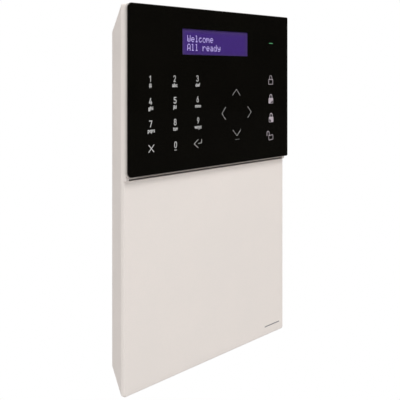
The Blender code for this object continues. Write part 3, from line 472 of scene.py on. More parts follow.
class Shape:
    """Closed shapes, in millimetres, gathered into one mesh."""

    def __init__(self):
        self.bm = bmesh.new()

    def take(self, part, mat):
        bmesh.ops.recalc_face_normals(part, faces=part.faces[:])
        for f in part.faces:
            f.material_index = mat
        holder = bpy.data.meshes.new("holder")
        part.to_mesh(holder)
        part.free()
        self.bm.from_mesh(holder)
        bpy.data.meshes.remove(holder)
        return self

    def box(self, x0, x1, y0, y1, z0, z1, bevel=0.15, seg=2, mat=0):
        part = bmesh.new()
        bmesh.ops.create_cube(part, size=1.0)
        for v in part.verts:
            v.co = Vector((x0 if v.co.x < 0 else x1, y0 if v.co.y < 0 else y1, z0 if v.co.z < 0 else z1)) * MM
        if bevel:
            bmesh.ops.bevel(part, geom=part.edges[:], offset=bevel * MM, segments=seg, profile=0.5, affect="EDGES")
        return self.take(part, mat)

    def loft(self, sections, mat=0, caps=True, closed=False):
        """Skin through outlines [(y, [(x, z), ...]), ...] of equal length."""
        part = bmesh.new()
        rings = [[part.verts.new((x * MM, y * MM, z * MM)) for x, z in outline] for y, outline in sections]
        n = len(rings[0])
        pairs = list(zip(rings, rings[1:])) + ([(rings[-1], rings[0])] if closed else [])
        for near, far in pairs:
            for i in range(n):
                j = (i + 1) % n
                part.faces.new((near[i], near[j], far[j], far[i]))
        if caps and not closed:
            part.faces.new(rings[0])
            part.faces.new(rings[-1])
        return self.take(part, mat)

    def prism(self, outline, y0, y1, bevel=0.0, seg=3, mat=0):
        """Outline extruded along Y, with its front and back edges rounded."""
        part = bmesh.new()
        front = [part.verts.new((x * MM, y0 * MM, z * MM)) for x, z in outline]
        back = [part.verts.new((x * MM, y1 * MM, z * MM)) for x, z in outline]
        n = len(outline)
        for i in range(n):
            j = (i + 1) % n
            part.faces.new((front[i], front[j], back[j], back[i]))
        caps = [part.faces.new(front), part.faces.new(back)]
        bmesh.ops.recalc_face_normals(part, faces=part.faces[:])
        if bevel:
            edges = list({e for f in caps for e in f.edges})
            bmesh.ops.bevel(part, geom=edges, offset=bevel * MM, segments=seg, profile=0.5, affect="EDGES", clamp_overlap=True)
        return self.take(part, mat)

    def turned(self, profile, centre, axis="Y", steps=48, mat=0, closed=False):
        """profile [(radius, along), ...] spun about an axis through centre. A closed profile makes a ring."""
        part = bmesh.new()
        c = Vector(centre)
        along, u, v = {
            "X": (Vector((1, 0, 0)), Vector((0, 1, 0)), Vector((0, 0, 1))),
            "Y": (Vector((0, 1, 0)), Vector((0, 0, 1)), Vector((1, 0, 0))),
            "Z": (Vector((0, 0, 1)), Vector((1, 0, 0)), Vector((0, 1, 0))),
        }[axis]
        rings = []
        for r, h in profile:
            if r < 1e-6:
                rings.append([part.verts.new((c + along * h) * MM)])
                continue
            rings.append(
                [
                    part.verts.new((c + along * h + u * (r * math.cos(a)) + v * (r * math.sin(a))) * MM)
                    for a in (2 * math.pi * k / steps for k in range(steps))
                ]
            )
        pairs = list(zip(rings, rings[1:])) + ([(rings[-1], rings[0])] if closed else [])
        for near, far in pairs:
            for k in range(steps):
                j = (k + 1) % steps
                if len(near) == 1 and len(far) == 1:
                    continue
                if len(near) == 1:
                    part.faces.new((near[0], far[k], far[j]))
                elif len(far) == 1:
                    part.faces.new((near[k], near[j], far[0]))
                else:
                    part.faces.new((near[k], near[j], far[j], far[k]))
        return self.take(part, mat)

    def tube(self, path, radius, sides=12, mat=0):
        part = bmesh.new()
        points = [Vector(p) * MM for p in path]
        tangent = (points[1] - points[0]).normalized()
        side = tangent.orthogonal().normalized()
        rings = []
        for i, p in enumerate(points):
            new = (points[min(i + 1, len(points) - 1)] - points[max(i - 1, 0)]).normalized()
            side = tangent.rotation_difference(new) @ side
            side = (side - new * side.dot(new)).normalized()
            tangent = new
            other = tangent.cross(side)
            r = (radius(i / (len(points) - 1)) if callable(radius) else radius) * MM
            rings.append(
                [
                    part.verts.new(p + side * (r * math.cos(2 * math.pi * k / sides)) + other * (r * math.sin(2 * math.pi * k / sides)))
                    for k in range(sides)
                ]
            )
        for near, far in zip(rings, rings[1:]):
            for k in range(sides):
                j = (k + 1) % sides
                part.faces.new((near[k], near[j], far[j], far[k]))
        part.faces.new(rings[0])
        part.faces.new(rings[-1])
        return self.take(part, mat)

    def stroke(self, path, width, y0, y1, closed=False, mat=0, round_ends=True):
        """A flat line of even width along [(x, z), ...], between two depths."""
        count = len(path)
        spans = [(path[i], path[(i + 1) % count]) for i in range(count if closed else count - 1)]
        h = width / 2
        for (ax, az), (bx, bz) in spans:
            d = math.hypot(bx - ax, bz - az)
            if d < 1e-6:
                continue
            nx, nz = -(bz - az) / d * h, (bx - ax) / d * h
            self.prism([(ax + nx, az + nz), (bx + nx, bz + nz), (bx - nx, bz - nz), (ax - nx, az - nz)], y0, y1, mat=mat)
        joints = path if (closed or round_ends) else path[1:-1]
        for x, z in joints:
            self.prism(circle(x, z, h * 0.995, 12), y0 + 0.002, y1 - 0.002, mat=mat)
        return self

    def text(self, body, x, z, height, width, y0, y1, mat=0, bold=0.0):
        """Generic lettering from the program's own font, fitted to a box centred at x, z."""
        curve = bpy.data.curves.new("letters", "FONT")
        curve.body = body
        curve.size = 1.0
        curve.extrude = 0.05
        curve.offset = bold
        curve.resolution_u = 4
        holder = bpy.data.objects.new("letters", curve)
        bpy.context.scene.collection.objects.link(holder)
        bpy.context.view_layer.update()
        mesh = bpy.data.meshes.new_from_object(holder.evaluated_get(bpy.context.evaluated_depsgraph_get()))
        bpy.data.objects.remove(holder)
        bpy.data.curves.remove(curve)
        xs = [v.co.x for v in mesh.vertices]
        ys = [v.co.y for v in mesh.vertices]
        w, h = max(xs) - min(xs), max(ys) - min(ys)
        mx, my = (max(xs) + min(xs)) / 2, (max(ys) + min(ys)) / 2
        kx = width / w
        kz = height / h
        part = bmesh.new()
        part.from_mesh(mesh)
        bpy.data.meshes.remove(mesh)
        for v in part.verts:
            depth = y0 if v.co.z > 0 else y1
            v.co = Vector((x + (v.co.x - mx) * kx, depth, z + (v.co.y - my) * kz)) * MM
        for f in part.faces:
            f.material_index = mat
        holder = bpy.data.meshes.new("holder")
        part.to_mesh(holder)
        part.free()
        self.bm.from_mesh(holder)
        bpy.data.meshes.remove(holder)
        return self

    def mesh(self, name):
        made = bpy.data.meshes.new(name)
        self.bm.normal_update()
        self.bm.to_mesh(made)
        self.bm.free()
        return made


def soften(mesh, angle=32):
    mesh.shade_smooth()
    mesh.set_sharp_from_angle(angle=math.radians(angle))
    return mesh


def place(name, mesh, paints, body, replaces=(), at=None, weighted=False):
    for p in paints:
        mesh.materials.append(p.mat)
    made = bpy.data.objects.new(name, mesh)
    if at is not None:
        made.location = Vector(at) * MM
    bpy.context.scene.collection.objects.link(made)
    if weighted:
        step = made.modifiers.new("even_normals", "WEIGHTED_NORMAL")
        step.keep_sharp = True
        step.weight = 60
    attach(made, body)
    if replaces:
        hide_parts(*replaces)
    return made


def piece(name, shape, paints, body, replaces=(), angle=32, weighted=False):
    paints = paints if isinstance(paints, (list, tuple)) else [paints]
    return place(name, soften(shape.mesh(name), angle), paints, body, replaces, weighted=weighted)


def carve(mesh, *steps):
    """mesh after Booleans [(operation, Shape), ...], each with the exact solver."""
    target = bpy.data.objects.new("target", mesh)
    bpy.context.scene.collection.objects.link(target)
    for operation, shape in steps:
        helper = bpy.data.objects.new("helper", shape.mesh("helper"))
        bpy.context.scene.collection.objects.link(helper)
        step = target.modifiers.new("cut", "BOOLEAN")
        step.operation = operation
        step.solver = "EXACT"
        step.object = helper
        bpy.context.view_layer.update()
        result = bpy.data.meshes.new_from_object(target.evaluated_get(bpy.context.evaluated_depsgraph_get()))
        target.modifiers.clear()
        old = target.data
        target.data = result
        bpy.data.meshes.remove(old)
        gone = helper.data
        bpy.data.objects.remove(helper)
        bpy.data.meshes.remove(gone)
    result = target.data
    bpy.data.objects.remove(target)
    return result


def dress(node, paint, bevel=0.2, seg=2, angle=34):
    """A CAD node shown as it is, with its own finish and true rounded edges."""
    o = NODES[node]
    o.data.materials.clear()
    o.data.materials.append(paint.mat)
    for poly in o.data.polygons:
        poly.material_index = 0
    return round_off(o, bevel, seg, angle)


def round_off(o, bevel, seg=2, angle=34):
    """Joins the facets of each flat face and rounds the edges between them."""
    weld = o.modifiers.new("weld", "WELD")
    weld.merge_threshold = 0.000002
    flat = o.modifiers.new("flat", "DECIMATE")
    flat.decimate_type = "DISSOLVE"
    flat.angle_limit = math.radians(1.0)
    if bevel:
        step = o.modifiers.new("edges", "BEVEL")
        step.width = bevel * MM
        step.segments = seg
        step.limit_method = "ANGLE"
        step.angle_limit = math.radians(angle)
        step.use_clamp_overlap = True
        step.harden_normals = False
    even = o.modifiers.new("even_normals", "WEIGHTED_NORMAL")
    even.keep_sharp = True
    return o


# ------------------------------------------------------------------ front cover
FRONT_HALF_W, FRONT_HALF_H = 77.0, 117.1
FRONT_Y, LIP_Y, REAR_Y = -25.0, -22.0, -0.4
REAR_HALF_W, REAR_TOP, REAR_BOTTOM = 65.9, 102.55, -108.4
WALL, FRONT_ROUND, CORNER_R = 2.6, 1.0, 1.5
PLATEAU_Y, SPLIT_Z = -26.2, 11.5
HINGE_Y, HINGE_Z = -2.2, 101.5
SCREW_Y = -9.0
SIDE_SLOPE = (FRONT_HALF_W - REAR_HALF_W) / (REAR_Y - LIP_Y)
TOP_SLOPE = (FRONT_HALF_H - REAR_TOP) / (REAR_Y - LIP_Y)
BOTTOM_SLOPE = (FRONT_HALF_H + REAR_BOTTOM) / (REAR_Y - LIP_Y)


def cover_outline(y, inset=(0.0, 0.0, 0.0), radius=CORNER_R, steps=8):
    """The cover's outline at depth y: a straight lip that eases into walls tapering to the rear edge."""
    ease = 0.7
    if y >= LIP_Y + ease:
        depth = y - LIP_Y
    elif y <= LIP_Y - ease:
        depth = 0.0
    else:
        depth = (y - LIP_Y + ease) ** 2 / (4 * ease)
    half = FRONT_HALF_W - SIDE_SLOPE * depth
    top = FRONT_HALF_H - TOP_SLOPE * depth
    bottom = -FRONT_HALF_H + BOTTOM_SLOPE * depth
    return rounded(-half + inset[0], half - inset[0], bottom + inset[2], top - inset[1], radius, steps)


WALLS = tuple(WALL * math.hypot(1, s) for s in (SIDE_SLOPE, TOP_SLOPE, BOTTOM_SLOPE))
EAR_X, EAR_HALF, STUB_R, SOCKET_R, KNUCKLE_R = 40.0, 4.0, 1.0, 1.3, 1.75
CARRIER_SCREWS = ((-69.6, 30.0), (69.6, 30.0), (-69.6, 96.0), (69.6, 96.0))


def build_cover():
    outer = Shape()
    sections = []
    for inset, y in ((5.0, 0.0), (3.6, 0.012), (2.4, 0.045), (1.5, 0.105)):
        sections.append((FRONT_Y + y, cover_outline(-25.0, (inset,) * 3, max(0.8, CORNER_R - inset * 0.3))))
    for i in range(2, 11):
        a = math.radians(90 * i / 10)
        inset = FRONT_ROUND * (1 - math.sin(a))
        y = FRONT_Y + 0.1 + FRONT_ROUND * (1 - math.cos(a))
        sections.append((y, cover_outline(-25.0, (inset,) * 3, CORNER_R)))
    for y in (-22.35, -22.0, -21.65, -21.3):
        sections.append((y, cover_outline(y)))
    sections.append((REAR_Y, cover_outline(REAR_Y)))
    outer.loft(sections)

    plateau = Shape()
    ring = []
    for inset, y in ((0.45, PLATEAU_Y), (0.24, PLATEAU_Y + 0.06), (0.07, PLATEAU_Y + 0.22), (0.0, PLATEAU_Y + 0.45), (0.0, LIP_Y + 0.15)):
        ring.append((y, rounded(-FRONT_HALF_W + inset, FRONT_HALF_W - inset, SPLIT_Z, FRONT_HALF_H - inset, CORNER_R, 8, (1, 1, 0, 0))))
    plateau.loft(ring)

    inner = Shape()
    back = cover_outline(REAR_Y, WALLS, 1.0)
    inner.loft([(-21.3, cover_outline(-21.3, WALLS, 1.0)), (REAR_Y, back), (1.6, back)])

    pockets = Shape()
    pockets.box(-73.4, 73.4, FRONT_Y + WALL, -20.8, -113.6, 9.0, 0)
    recess = Shape().box(-74.4, 74.4, -30.0, -23.9, SPLIT_Z, 114.6, 0)
    window = Shape().box(-66.0, 66.0, -25.0, -20.0, 17.5, 110.0, 0)

    knuckles = Shape()
    for s in (-1, 1):
        for near in (-1, 1):
            face = s * EAR_X + near * (EAR_HALF + 0.6)
            lo, hi = sorted((face - near * 1.5, face + near * 3.4))
            knuckles.turned([(0, lo), (KNUCKLE_R, lo), (KNUCKLE_R, hi), (0, hi)], (0, HINGE_Y, HINGE_Z), "X", 32)
    notches = Shape()
    for s in (-1, 1):
        notches.box(s * EAR_X - EAR_HALF - 0.6, s * EAR_X + EAR_HALF + 0.6, -6.5, 1.0, 96.0, 106.9, 0)
    sockets = Shape()
    for s in (-1, 1):
        reach = EAR_HALF + 0.6 + 2.9
        sockets.turned(
            [(0, s * EAR_X - reach), (SOCKET_R, s * EAR_X - reach), (SOCKET_R, s * EAR_X + reach), (0, s * EAR_X + reach)],
            (0, HINGE_Y, HINGE_Z), "X", 32,
        )  # fmt: skip

    boss = Shape().turned([(0, -111.0), (4.6, -111.0), (4.6, -106.2), (4.2, -105.8), (0, -105.8)], (0, SCREW_Y, 0), "Z", 40)
    bore = Shape().turned([(0, -118.0), (1.9, -118.0), (1.9, -104.0), (0, -104.0)], (0, SCREW_Y, 0), "Z", 32)
    counter = Shape().turned([(0, -119.0), (3.4, -119.0), (3.4, -107.7), (0, -107.7)], (0, SCREW_Y, 0), "Z", 40)
    slots = Shape()
    for i in range(5):
        x0 = 38.0 + 4 * i
        ends = []
        for t in range(9):
            a = math.pi * t / 8
            ends.append((x0 + 0.8 + 0.8 * math.cos(a), -8.8 + 0.8 * math.sin(a)))
        for t in range(9):
            a = math.pi + math.pi * t / 8
            ends.append((x0 + 0.8 + 0.8 * math.cos(a), -17.2 + 0.8 * math.sin(a)))
        part = bmesh.new()
        low = [part.verts.new((x * MM, y * MM, -119.0 * MM)) for x, y in ends]
        high = [part.verts.new((x * MM, y * MM, -104.0 * MM)) for x, y in ends]
        for k in range(len(ends)):
            j = (k + 1) % len(ends)
            part.faces.new((low[k], low[j], high[j], high[k]))
        part.faces.new(low)
        part.faces.new(high)
        slots.take(part, 0)
    holes = Shape()
    for x, z in CARRIER_SCREWS:
        holes.prism(circle(x, z, 1.45, 24), -25.0, -20.0)
    ribs = Shape()
    for x in (-44.0, 44.0):
        ribs.box(x - 0.7, x + 0.7, FRONT_Y + 1.0, -20.9, -100.0, 2.0, 0)

    mesh = carve(
        outer.mesh("cover"), ("UNION", plateau), ("DIFFERENCE", inner), ("DIFFERENCE", pockets), ("DIFFERENCE", recess),
        ("DIFFERENCE", window), ("UNION", knuckles), ("DIFFERENCE", notches), ("DIFFERENCE", sockets), ("UNION", boss),
        ("DIFFERENCE", bore), ("DIFFERENCE", counter), ("DIFFERENCE", slots), ("DIFFERENCE", holes), ("UNION", ribs),
    )  # fmt: skip
    soften(mesh, 22)
    return place("front_cover_shell", mesh, [case_paint], "cover", ("front_cover",), weighted=True)


build_cover()

# ------------------------------------------------------------------ keypad carrier
dress("keypad_carrier", carrier_paint, 0.18, 2)

# ------------------------------------------------------------------ touch glass, its windows and legends
GLASS = dict(half=78.0, bottom=13.5, top=117.76, front=-28.64, back=-26.5, left=3.7, right=1.1)
LCD = (-32.5, 31.9, 87.56, 104.26)


def glass_xz(x, y):
    """A point on the glass given from its left edge and its top edge."""
    return x - GLASS["half"], GLASS["top"] - y


def build_glass():
    slab = Shape()
    sections = []
    for inset, y in ((0.34, 0.0), (0.17, 0.05), (0.05, 0.16), (0.0, 0.34)):
        sections.append((GLASS["front"] + y, inset))
    for inset, y in ((0.0, 0.26), (0.08, 0.08), (0.26, 0.0)):
        sections.append((GLASS["back"] - y, inset))

    def outline(i):
        x, z0, z1 = GLASS["half"] - i, GLASS["bottom"] + i, GLASS["top"] - i
        left, right = GLASS["left"] - i * 0.5, GLASS["right"] - i * 0.5
        a = rounded(-x, x, z0, z1, right, 12)
        b = rounded(-x, x, z0, z1, left, 12)
        return a[:13] + b[13:39] + a[39:]

    slab.loft([(y, outline(i)) for y, i in sections])
    window = Shape().prism(rounded(*LCD, 0.3, 4), -30.0, -25.0)
    mesh = carve(slab.mesh("slab"), ("DIFFERENCE", window))
    soften(mesh, 40)
    place("touch_glass_slab", mesh, [glass_finish], "cover", ("touch_glass",), weighted=True)

    x0, x1, z0, z1 = LCD
    panel = Shape()
    panel.prism(rounded(x0 + 0.05, x1 - 0.05, z0 + 0.05, z1 - 0.05, 0.25, 3), -28.02, -27.2, 0.05, 1)
    piece("lcd_face", panel, lcd_paint, "cover")
    pane = Shape()
    pane.prism(rounded(x0 + 0.03, x1 - 0.03, z0 + 0.03, z1 - 0.03, 0.27, 4), GLASS["front"], GLASS["front"] + 0.25, 0.02, 1)
    piece("lcd_window", pane, pane_finish, "cover")


build_glass()

PIXELS = {
    "W": "10001 10001 10001 10101 10101 10101 01010",
    "A": "01110 10001 10001 10001 11111 10001 10001",
    "a": "00000 00000 01110 00001 01111 10001 01111",
    "c": "00000 00000 01110 10000 10000 10001 01110",
    "d": "00001 00001 01101 10011 10001 10001 01111",
    "e": "00000 00000 01110 10001 11111 10000 01110",
    "l": "01100 00100 00100 00100 00100 00100 01110",
    "m": "00000 00000 11010 10101 10101 10001 10001",
    "o": "00000 00000 01110 10001 10001 10001 01110",
    "r": "00000 00000 10110 11001 10000 10000 10000",
    "y": "00000 00000 10001 10001 01111 00001 01110",
}


def build_display_text():
    shape = Shape()
    x_start, pitch, dot_x, dot_z = glass_xz(50.3, 0)[0], 3.55, 0.592, 0.63
    for line, y in (("Welcome", 19.7), ("All ready", 25.3)):
        centre = glass_xz(0, y)[1]
        for i, letter in enumerate(line):
            if letter == " ":
                continue
            for row, bits in enumerate(PIXELS[letter].split()):
                for col, bit in enumerate(bits):
                    if bit == "0":
                        continue
                    x = x_start + i * pitch + col * dot_x
                    z = centre + (3 - row) * dot_z
                    shape.box(x + 0.04, x + 0.54, -28.06, -28.03, z - 0.265, z + 0.265, 0)
    piece("lcd_characters", shape, lcd_dot_paint, "cover")


build_display_text()

LEGEND_Y = (-28.675, -28.60)
KEY_X = (18.4, 38.7, 59.0)
KEY_Y = (45.3, 59.0, 72.8, 87.2)


def arc(cx, cy, rx, ry, start, end, steps=10):
    return [
        (cx + rx * math.cos(math.radians(start + (end - start) * i / steps)), cy + ry * math.sin(math.radians(start + (end - start) * i / steps)))
        for i in range(steps + 1)
    ]


# Narrow technical digits as strokes in a box one unit wide and one high
DIGITS = {
    "0": [arc(0.5, 0.68, 0.46, 0.32, 0, 180) + arc(0.5, 0.32, 0.46, 0.32, 180, 360) + [(0.96, 0.68)]],
    "1": [[(0.14, 0.76), (0.60, 1.0), (0.60, 0.0)]],
    "2": [arc(0.5, 0.70, 0.44, 0.30, 165, -30) + [(0.06, 0.0), (0.98, 0.0)]],
    "3": [arc(0.46, 0.75, 0.42, 0.25, 160, -80) + arc(0.46, 0.28, 0.48, 0.28, 80, -160)],
    "4": [[(0.58, 1.0), (0.04, 0.24), (1.0, 0.24)], [(0.74, 0.52), (0.74, 0.0)]],
    "5": [[(0.90, 1.0), (0.16, 1.0), (0.12, 0.58)] + arc(0.46, 0.31, 0.48, 0.31, 118, -155)],
    "6": [[(0.62, 1.0), (0.16, 0.50)] + arc(0.5, 0.30, 0.44, 0.30, 150, 510, 20)],
    "7": [[(0.04, 1.0), (0.96, 1.0), (0.40, 0.0)]],
    "8": [arc(0.5, 0.76, 0.38, 0.24, -90, 270, 20), arc(0.5, 0.27, 0.45, 0.27, 90, 450, 20)],
    "9": [[(0.38, 0.0), (0.84, 0.50)] + arc(0.5, 0.70, 0.44, 0.30, -30, 330, 20)],
}


# For each key: where its mark stands off the even grid, the digit's width and the thickness of its line
KEY_MARKS = {
    "1": (-0.17, -0.15, 2.00, 0.36), "2": (-0.16, -0.20, 1.84, 0.37), "3": (0.03, -0.16, 1.94, 0.38),
    "4": (-0.03, -0.18, 2.15, 0.50), "5": (0.24, -0.15, 2.20, 0.52), "6": (0.25, -0.03, 1.84, 0.40),
    "7": (0.05, -0.15, 2.30, 0.52), "8": (0.31, -0.09, 2.00, 0.46), "9": (0.62, -0.10, 1.74, 0.37),
    "0": (0.68, 0.0, 1.88, 0.45),
}  # fmt: skip


def draw_digit(shape, digit, x, z, y0, y1, height=3.65):
    dx, dz, width, ink = KEY_MARKS[digit]
    for run in DIGITS[digit]:
        shape.stroke([(x + dx + (u - 0.5) * width, z + dz + (v - 0.5) * height) for u, v in run], ink, y0, y1)


def build_legends():
    y0, y1 = LEGEND_Y
    digits, letters, arrows = Shape(), Shape(), Shape()
    labels = [
        ("1", None, 0, 0, 0, 0), ("2", "abc", 4.5, 2.5, -0.1, 0.04), ("3", "def", 4.05, 2.35, 0.18, -0.1),
        ("4", "ghi", 3.85, 3.05, 0.02, -0.02), ("5", "jkl", 2.85, 3.05, -0.09, -0.03), ("6", "mno", 5.35, 1.65, 0.48, -0.16),
        ("7", "pqrs", 5.75, 2.5, 0.53, -0.09), ("8", "tuv", 4.05, 2.3, 0.45, -0.06), ("9", "wxyz", 6.5, 2.45, 0.5, -0.09),
    ]  # fmt: skip
    for k, (digit, label, width, height, dx, dz) in enumerate(labels):
        x, z = glass_xz(KEY_X[k % 3], KEY_Y[k // 3])
        draw_digit(digits, digit, x, z, y0, y1)
        if label:
            tall = any(c in label for c in "bdfhklt")
            low = any(c in label for c in "gjpqy")
            lx, lz = glass_xz(KEY_X[k % 3] + 0.1 + dx, KEY_Y[k // 3] + 4.5)
            letters.text(label, lx, lz + dz + (0.2 if tall else 0) - (0.35 if low else 0), height, width, y0, y1, bold=0.018)
        else:
            lx, lz = glass_xz(KEY_X[0] - 0.18, KEY_Y[0] + 4.36)
            for sx in (-0.48, 0.48):
                letters.stroke([(lx + sx, lz - 1.3), (lx + sx, lz + 1.3)], 0.36, y0, y1)
            for sz in (-0.5, 0.5):
                letters.stroke([(lx - 0.95, lz + sz), (lx + 0.95, lz + sz)], 0.36, y0, y1)
    x, z = glass_xz(KEY_X[1], KEY_Y[3])
    draw_digit(digits, "0", x, z, y0, y1)
    letters.stroke([glass_xz(KEY_X[1] - 0.25, 90.5), glass_xz(KEY_X[1] + 1.6, 90.5)], 0.32, y0, y1)
    # Cancel and enter
    cx, cz = glass_xz(KEY_X[0] + 0.65, 88.0)
    for s in (-1, 1):
        arrows.stroke([(cx - 2.1, cz - 2.15 * s), (cx + 2.1, cz + 2.15 * s)], 0.44, y0, y1)
    arrows.stroke([glass_xz(59.6, 85.3), glass_xz(56.0, 88.0), glass_xz(59.6, 90.6)], 0.28, y0, y1)
    arrows.stroke([glass_xz(62.8, 85.3), glass_xz(62.8, 87.7), glass_xz(59.9, 87.9)], 0.28, y0, y1)
    for run in (
        ((93.4, 57.3), (97.35, 53.2), (101.3, 57.3)),
        ((86.4, 65.2), (82.6, 69.4), (86.4, 73.7)),
        ((109.4, 65.5), (113.2, 69.5), (109.4, 73.6)),
        ((93.9, 81.3), (98.0, 85.4), (102.1, 81.3)),
    ):
        arrows.stroke([glass_xz(*p) for p in run], 0.19, y0, y1)
    piece("digit_legends", digits, legend_paint, "cover")
    piece("letter_legends", letters, legend_paint, "cover")
    piece("arrow_legends", arrows, legend_paint, "cover")
    hint = Shape()
    a, b = glass_xz(96.3, 87.9), glass_xz(100.4, 87.9)
    hint.stroke([a, b], 0.36, y0, y1)
    piece("arrow_hint", hint, faint_paint, "cover")

    locks, fills = Shape(), Shape()
    ink = 0.27
    w, h = 4.75, 3.5

    def body(cx, cz, wide=w, high=h):
        return rounded(cx - wide / 2, cx + wide / 2, cz - high / 2, cz + high / 2, 0.3, 3)

    def shackle(cx, base, wide=2.6, high=2.9):
        return [(cx - wide / 2, base)] + arc(cx, base + high - wide / 2, wide / 2, wide / 2, 180, 0, 12) + [(cx + wide / 2, base)]

    for kind, y in (("closed", 46.95), ("half", 60.8), ("full", 74.6), ("open", 87.4)):
        x, z = glass_xz({"closed": 135.5, "half": 135.6, "full": 135.95, "open": 135.6}[kind], y)
        bz = z - 1.45
        left, right, top, bottom = x - w / 2, x + w / 2, bz + h / 2, bz - h / 2
        if kind == "open":
            tilt = math.radians(5)
            corners = [(px - x, pz - bz) for px, pz in body(x, bz - 0.25, 4.9, 3.3)]
            locks.stroke([(x + a * math.cos(tilt) - b * math.sin(tilt), bz + a * math.sin(tilt) + b * math.cos(tilt)) for a, b in corners], ink, y0, y1, closed=True)
            hook = [(px - 3.2, pz - 0.6) for px, pz in shackle(x, bz + 1.7, 2.6, 3.3)]
            locks.stroke(hook, ink + 0.05, y0, y1)
            continue
        locks.stroke(body(x, bz), ink, y0, y1, closed=True)
        locks.stroke(shackle(x, top, high=2.75), ink if kind == "closed" else ink + 0.16, y0, y1)
        if kind == "half":
            fills.prism([(left, top), (right, top), (right, bz + 0.08 * h), (x - 0.22 * w, bottom), (left, bottom)], y0 + 0.004, y1 - 0.004)
        if kind == "full":
            fills.prism([(left, top), (right, top), (right, bottom), (x + 0.02 * w, bottom), (x - 0.12 * w, bz - 0.05 * h), (left, bz + 0.14 * h)], y0 + 0.004, y1 - 0.004)
    piece("lock_legends", locks, lock_paint, "cover")
    piece("lock_fills", fills, lock_fill_paint, "cover")

    status = Shape()
    sx, sz = glass_xz(135.75, 20.2)
    status.prism(rounded(sx - 2.15, sx + 2.15, sz - 0.2, sz + 0.2, 0.18, 5), y0, y1, 0.02, 1)
    piece("status_light", status, status_paint, "cover")


build_legends()


# ------------------------------------------------------------------ screws
def screw_mesh(head_r, head_t, shaft_r, length, slotted=False):
    """Pan-head screw along +Y, its head's underside at the origin, with a cross recess and a fine thread."""
    profile = [(0.0, -head_t)]
    for i in range(7):
        a = math.radians(90 * i / 6)
        profile.append((head_r * (0.55 + 0.45 * math.sin(a)), -head_t * (0.25 + 0.75 * math.cos(a))))
    profile += [(head_r, -0.08), (head_r - 0.08, 0.0), (shaft_r, 0.0)]
    pitch = 0.45
    h = 0.3
    while h + pitch < length - shaft_r * 0.7:
        profile += [(shaft_r * 0.86, h), (shaft_r, h + pitch * 0.5)]
        h += pitch
    profile += [(shaft_r * 0.85, length - shaft_r * 0.7), (0.0, length)]
    body = Shape().turned(profile, (0, 0, 0), "Y", 32)
    half, thin = head_r * 0.58, head_r * 0.15
    low, high = -head_t - 0.5, -head_t * 0.38
    cross = Shape()
    plus = [
        (half, thin), (thin * 1.6, thin * 1.6), (thin, half), (-thin, half), (-thin * 1.6, thin * 1.6), (-half, thin),
        (-half, -thin), (-thin * 1.6, -thin * 1.6), (-thin, -half), (thin, -half), (thin * 1.6, -thin * 1.6), (half, -thin),
    ]  # fmt: skip
    cross.loft([(low, plus), (-head_t, plus), (high, [(x * 0.55, z * 0.55) for x, z in plus])])
    mesh = carve(body.mesh("screw"), ("DIFFERENCE", cross))
    return soften(mesh, 40)


BOARD_SCREWS = ((-52.0, -21.0), (52.0, -15.0), (-52.0, 73.0), (52.0, 73.0))
STRAP_SCREWS = ((-56.0, -67.0), (28.5, -67.0))


def fine_screw(node, mesh, x, y, z, body, forward=False):
    copy = mesh.copy()
    if forward:
        copy.transform(Matrix.Rotation(math.pi, 4, "Z"))
    copy.transform(Matrix.Translation(Vector((x, y, z)) * MM))
    place(node + "_threaded", copy, [steel_paint], body, (node,))


board_screw = screw_mesh(2.4, 1.7, 1.0, 6.2)
for i, (x, z) in enumerate(BOARD_SCREWS, 1):
    fine_screw(f"board_screw_{i}", board_screw, x, -8.4, z, "rear")
strap_screw = screw_mesh(2.2, 1.5, 1.0, 5.7)
for i, (x, z) in enumerate(STRAP_SCREWS, 1):
    fine_screw(f"strap_screw_{i}", strap_screw, x, -7.2, z, "rear")
carrier_screw = screw_mesh(2.0, 1.4, 1.1, 4.4)
for i, (x, z) in enumerate(CARRIER_SCREWS, 1):
    fine_screw(f"carrier_screw_{i}", carrier_screw, x, -21.0, z, "cover", forward=True)


def build_cover_screw():
    """The captive screw: rounded slotted head below, threaded shaft up towards the lug."""
    profile = [(0.0, -114.0)]
    for i in range(6):
        a = math.radians(90 * i / 5)
        profile.append((2.35 + 0.55 * math.sin(a), -113.4 - 0.6 * math.cos(a)))
    profile += [(2.9, -112.1), (2.8, -112.0), (1.5, -112.0), (1.5, -110.4)]
    z = -110.4
    while z < -106.8:
        profile += [(1.25, z + 0.12), (1.5, z + 0.35)]
        z += 0.5
    profile += [(1.3, -106.4), (0.9, -106.0), (0.0, -106.0)]
    body = Shape().turned(profile, (0, SCREW_Y, 0), "Z", 40)
    slot = Shape().box(-3.5, 3.5, SCREW_Y - 0.45, SCREW_Y + 0.45, -115.0, -113.1, 0)
    mesh = carve(body.mesh("captive"), ("DIFFERENCE", slot))
    soften(mesh, 40)
    place("cover_screw_threaded", mesh, [steel_paint], "cover_screw", ("cover_screw",))


build_cover_screw()

# ------------------------------------------------------------------ keypad stack behind the glass
dress("touch_sensor_board", black_pcb_paint, 0.0)
dress("icon_light_guide", light_paint, 0.0)
dress("keypad_board", pcb_paint, 0.1, 1)
dress("lcd_bezel", tin_paint, 0.0)
dress("lcd_glass", lcd_paint, 0.1, 1)
dress("lcd_backlight", light_paint, 0.15, 1)
dress("status_light_pipe", light_paint, 0.1, 1)
dress("touch_controller", chip_paint, 0.1, 1)
dress("keypad_connector", light_paint, 0.15, 1)


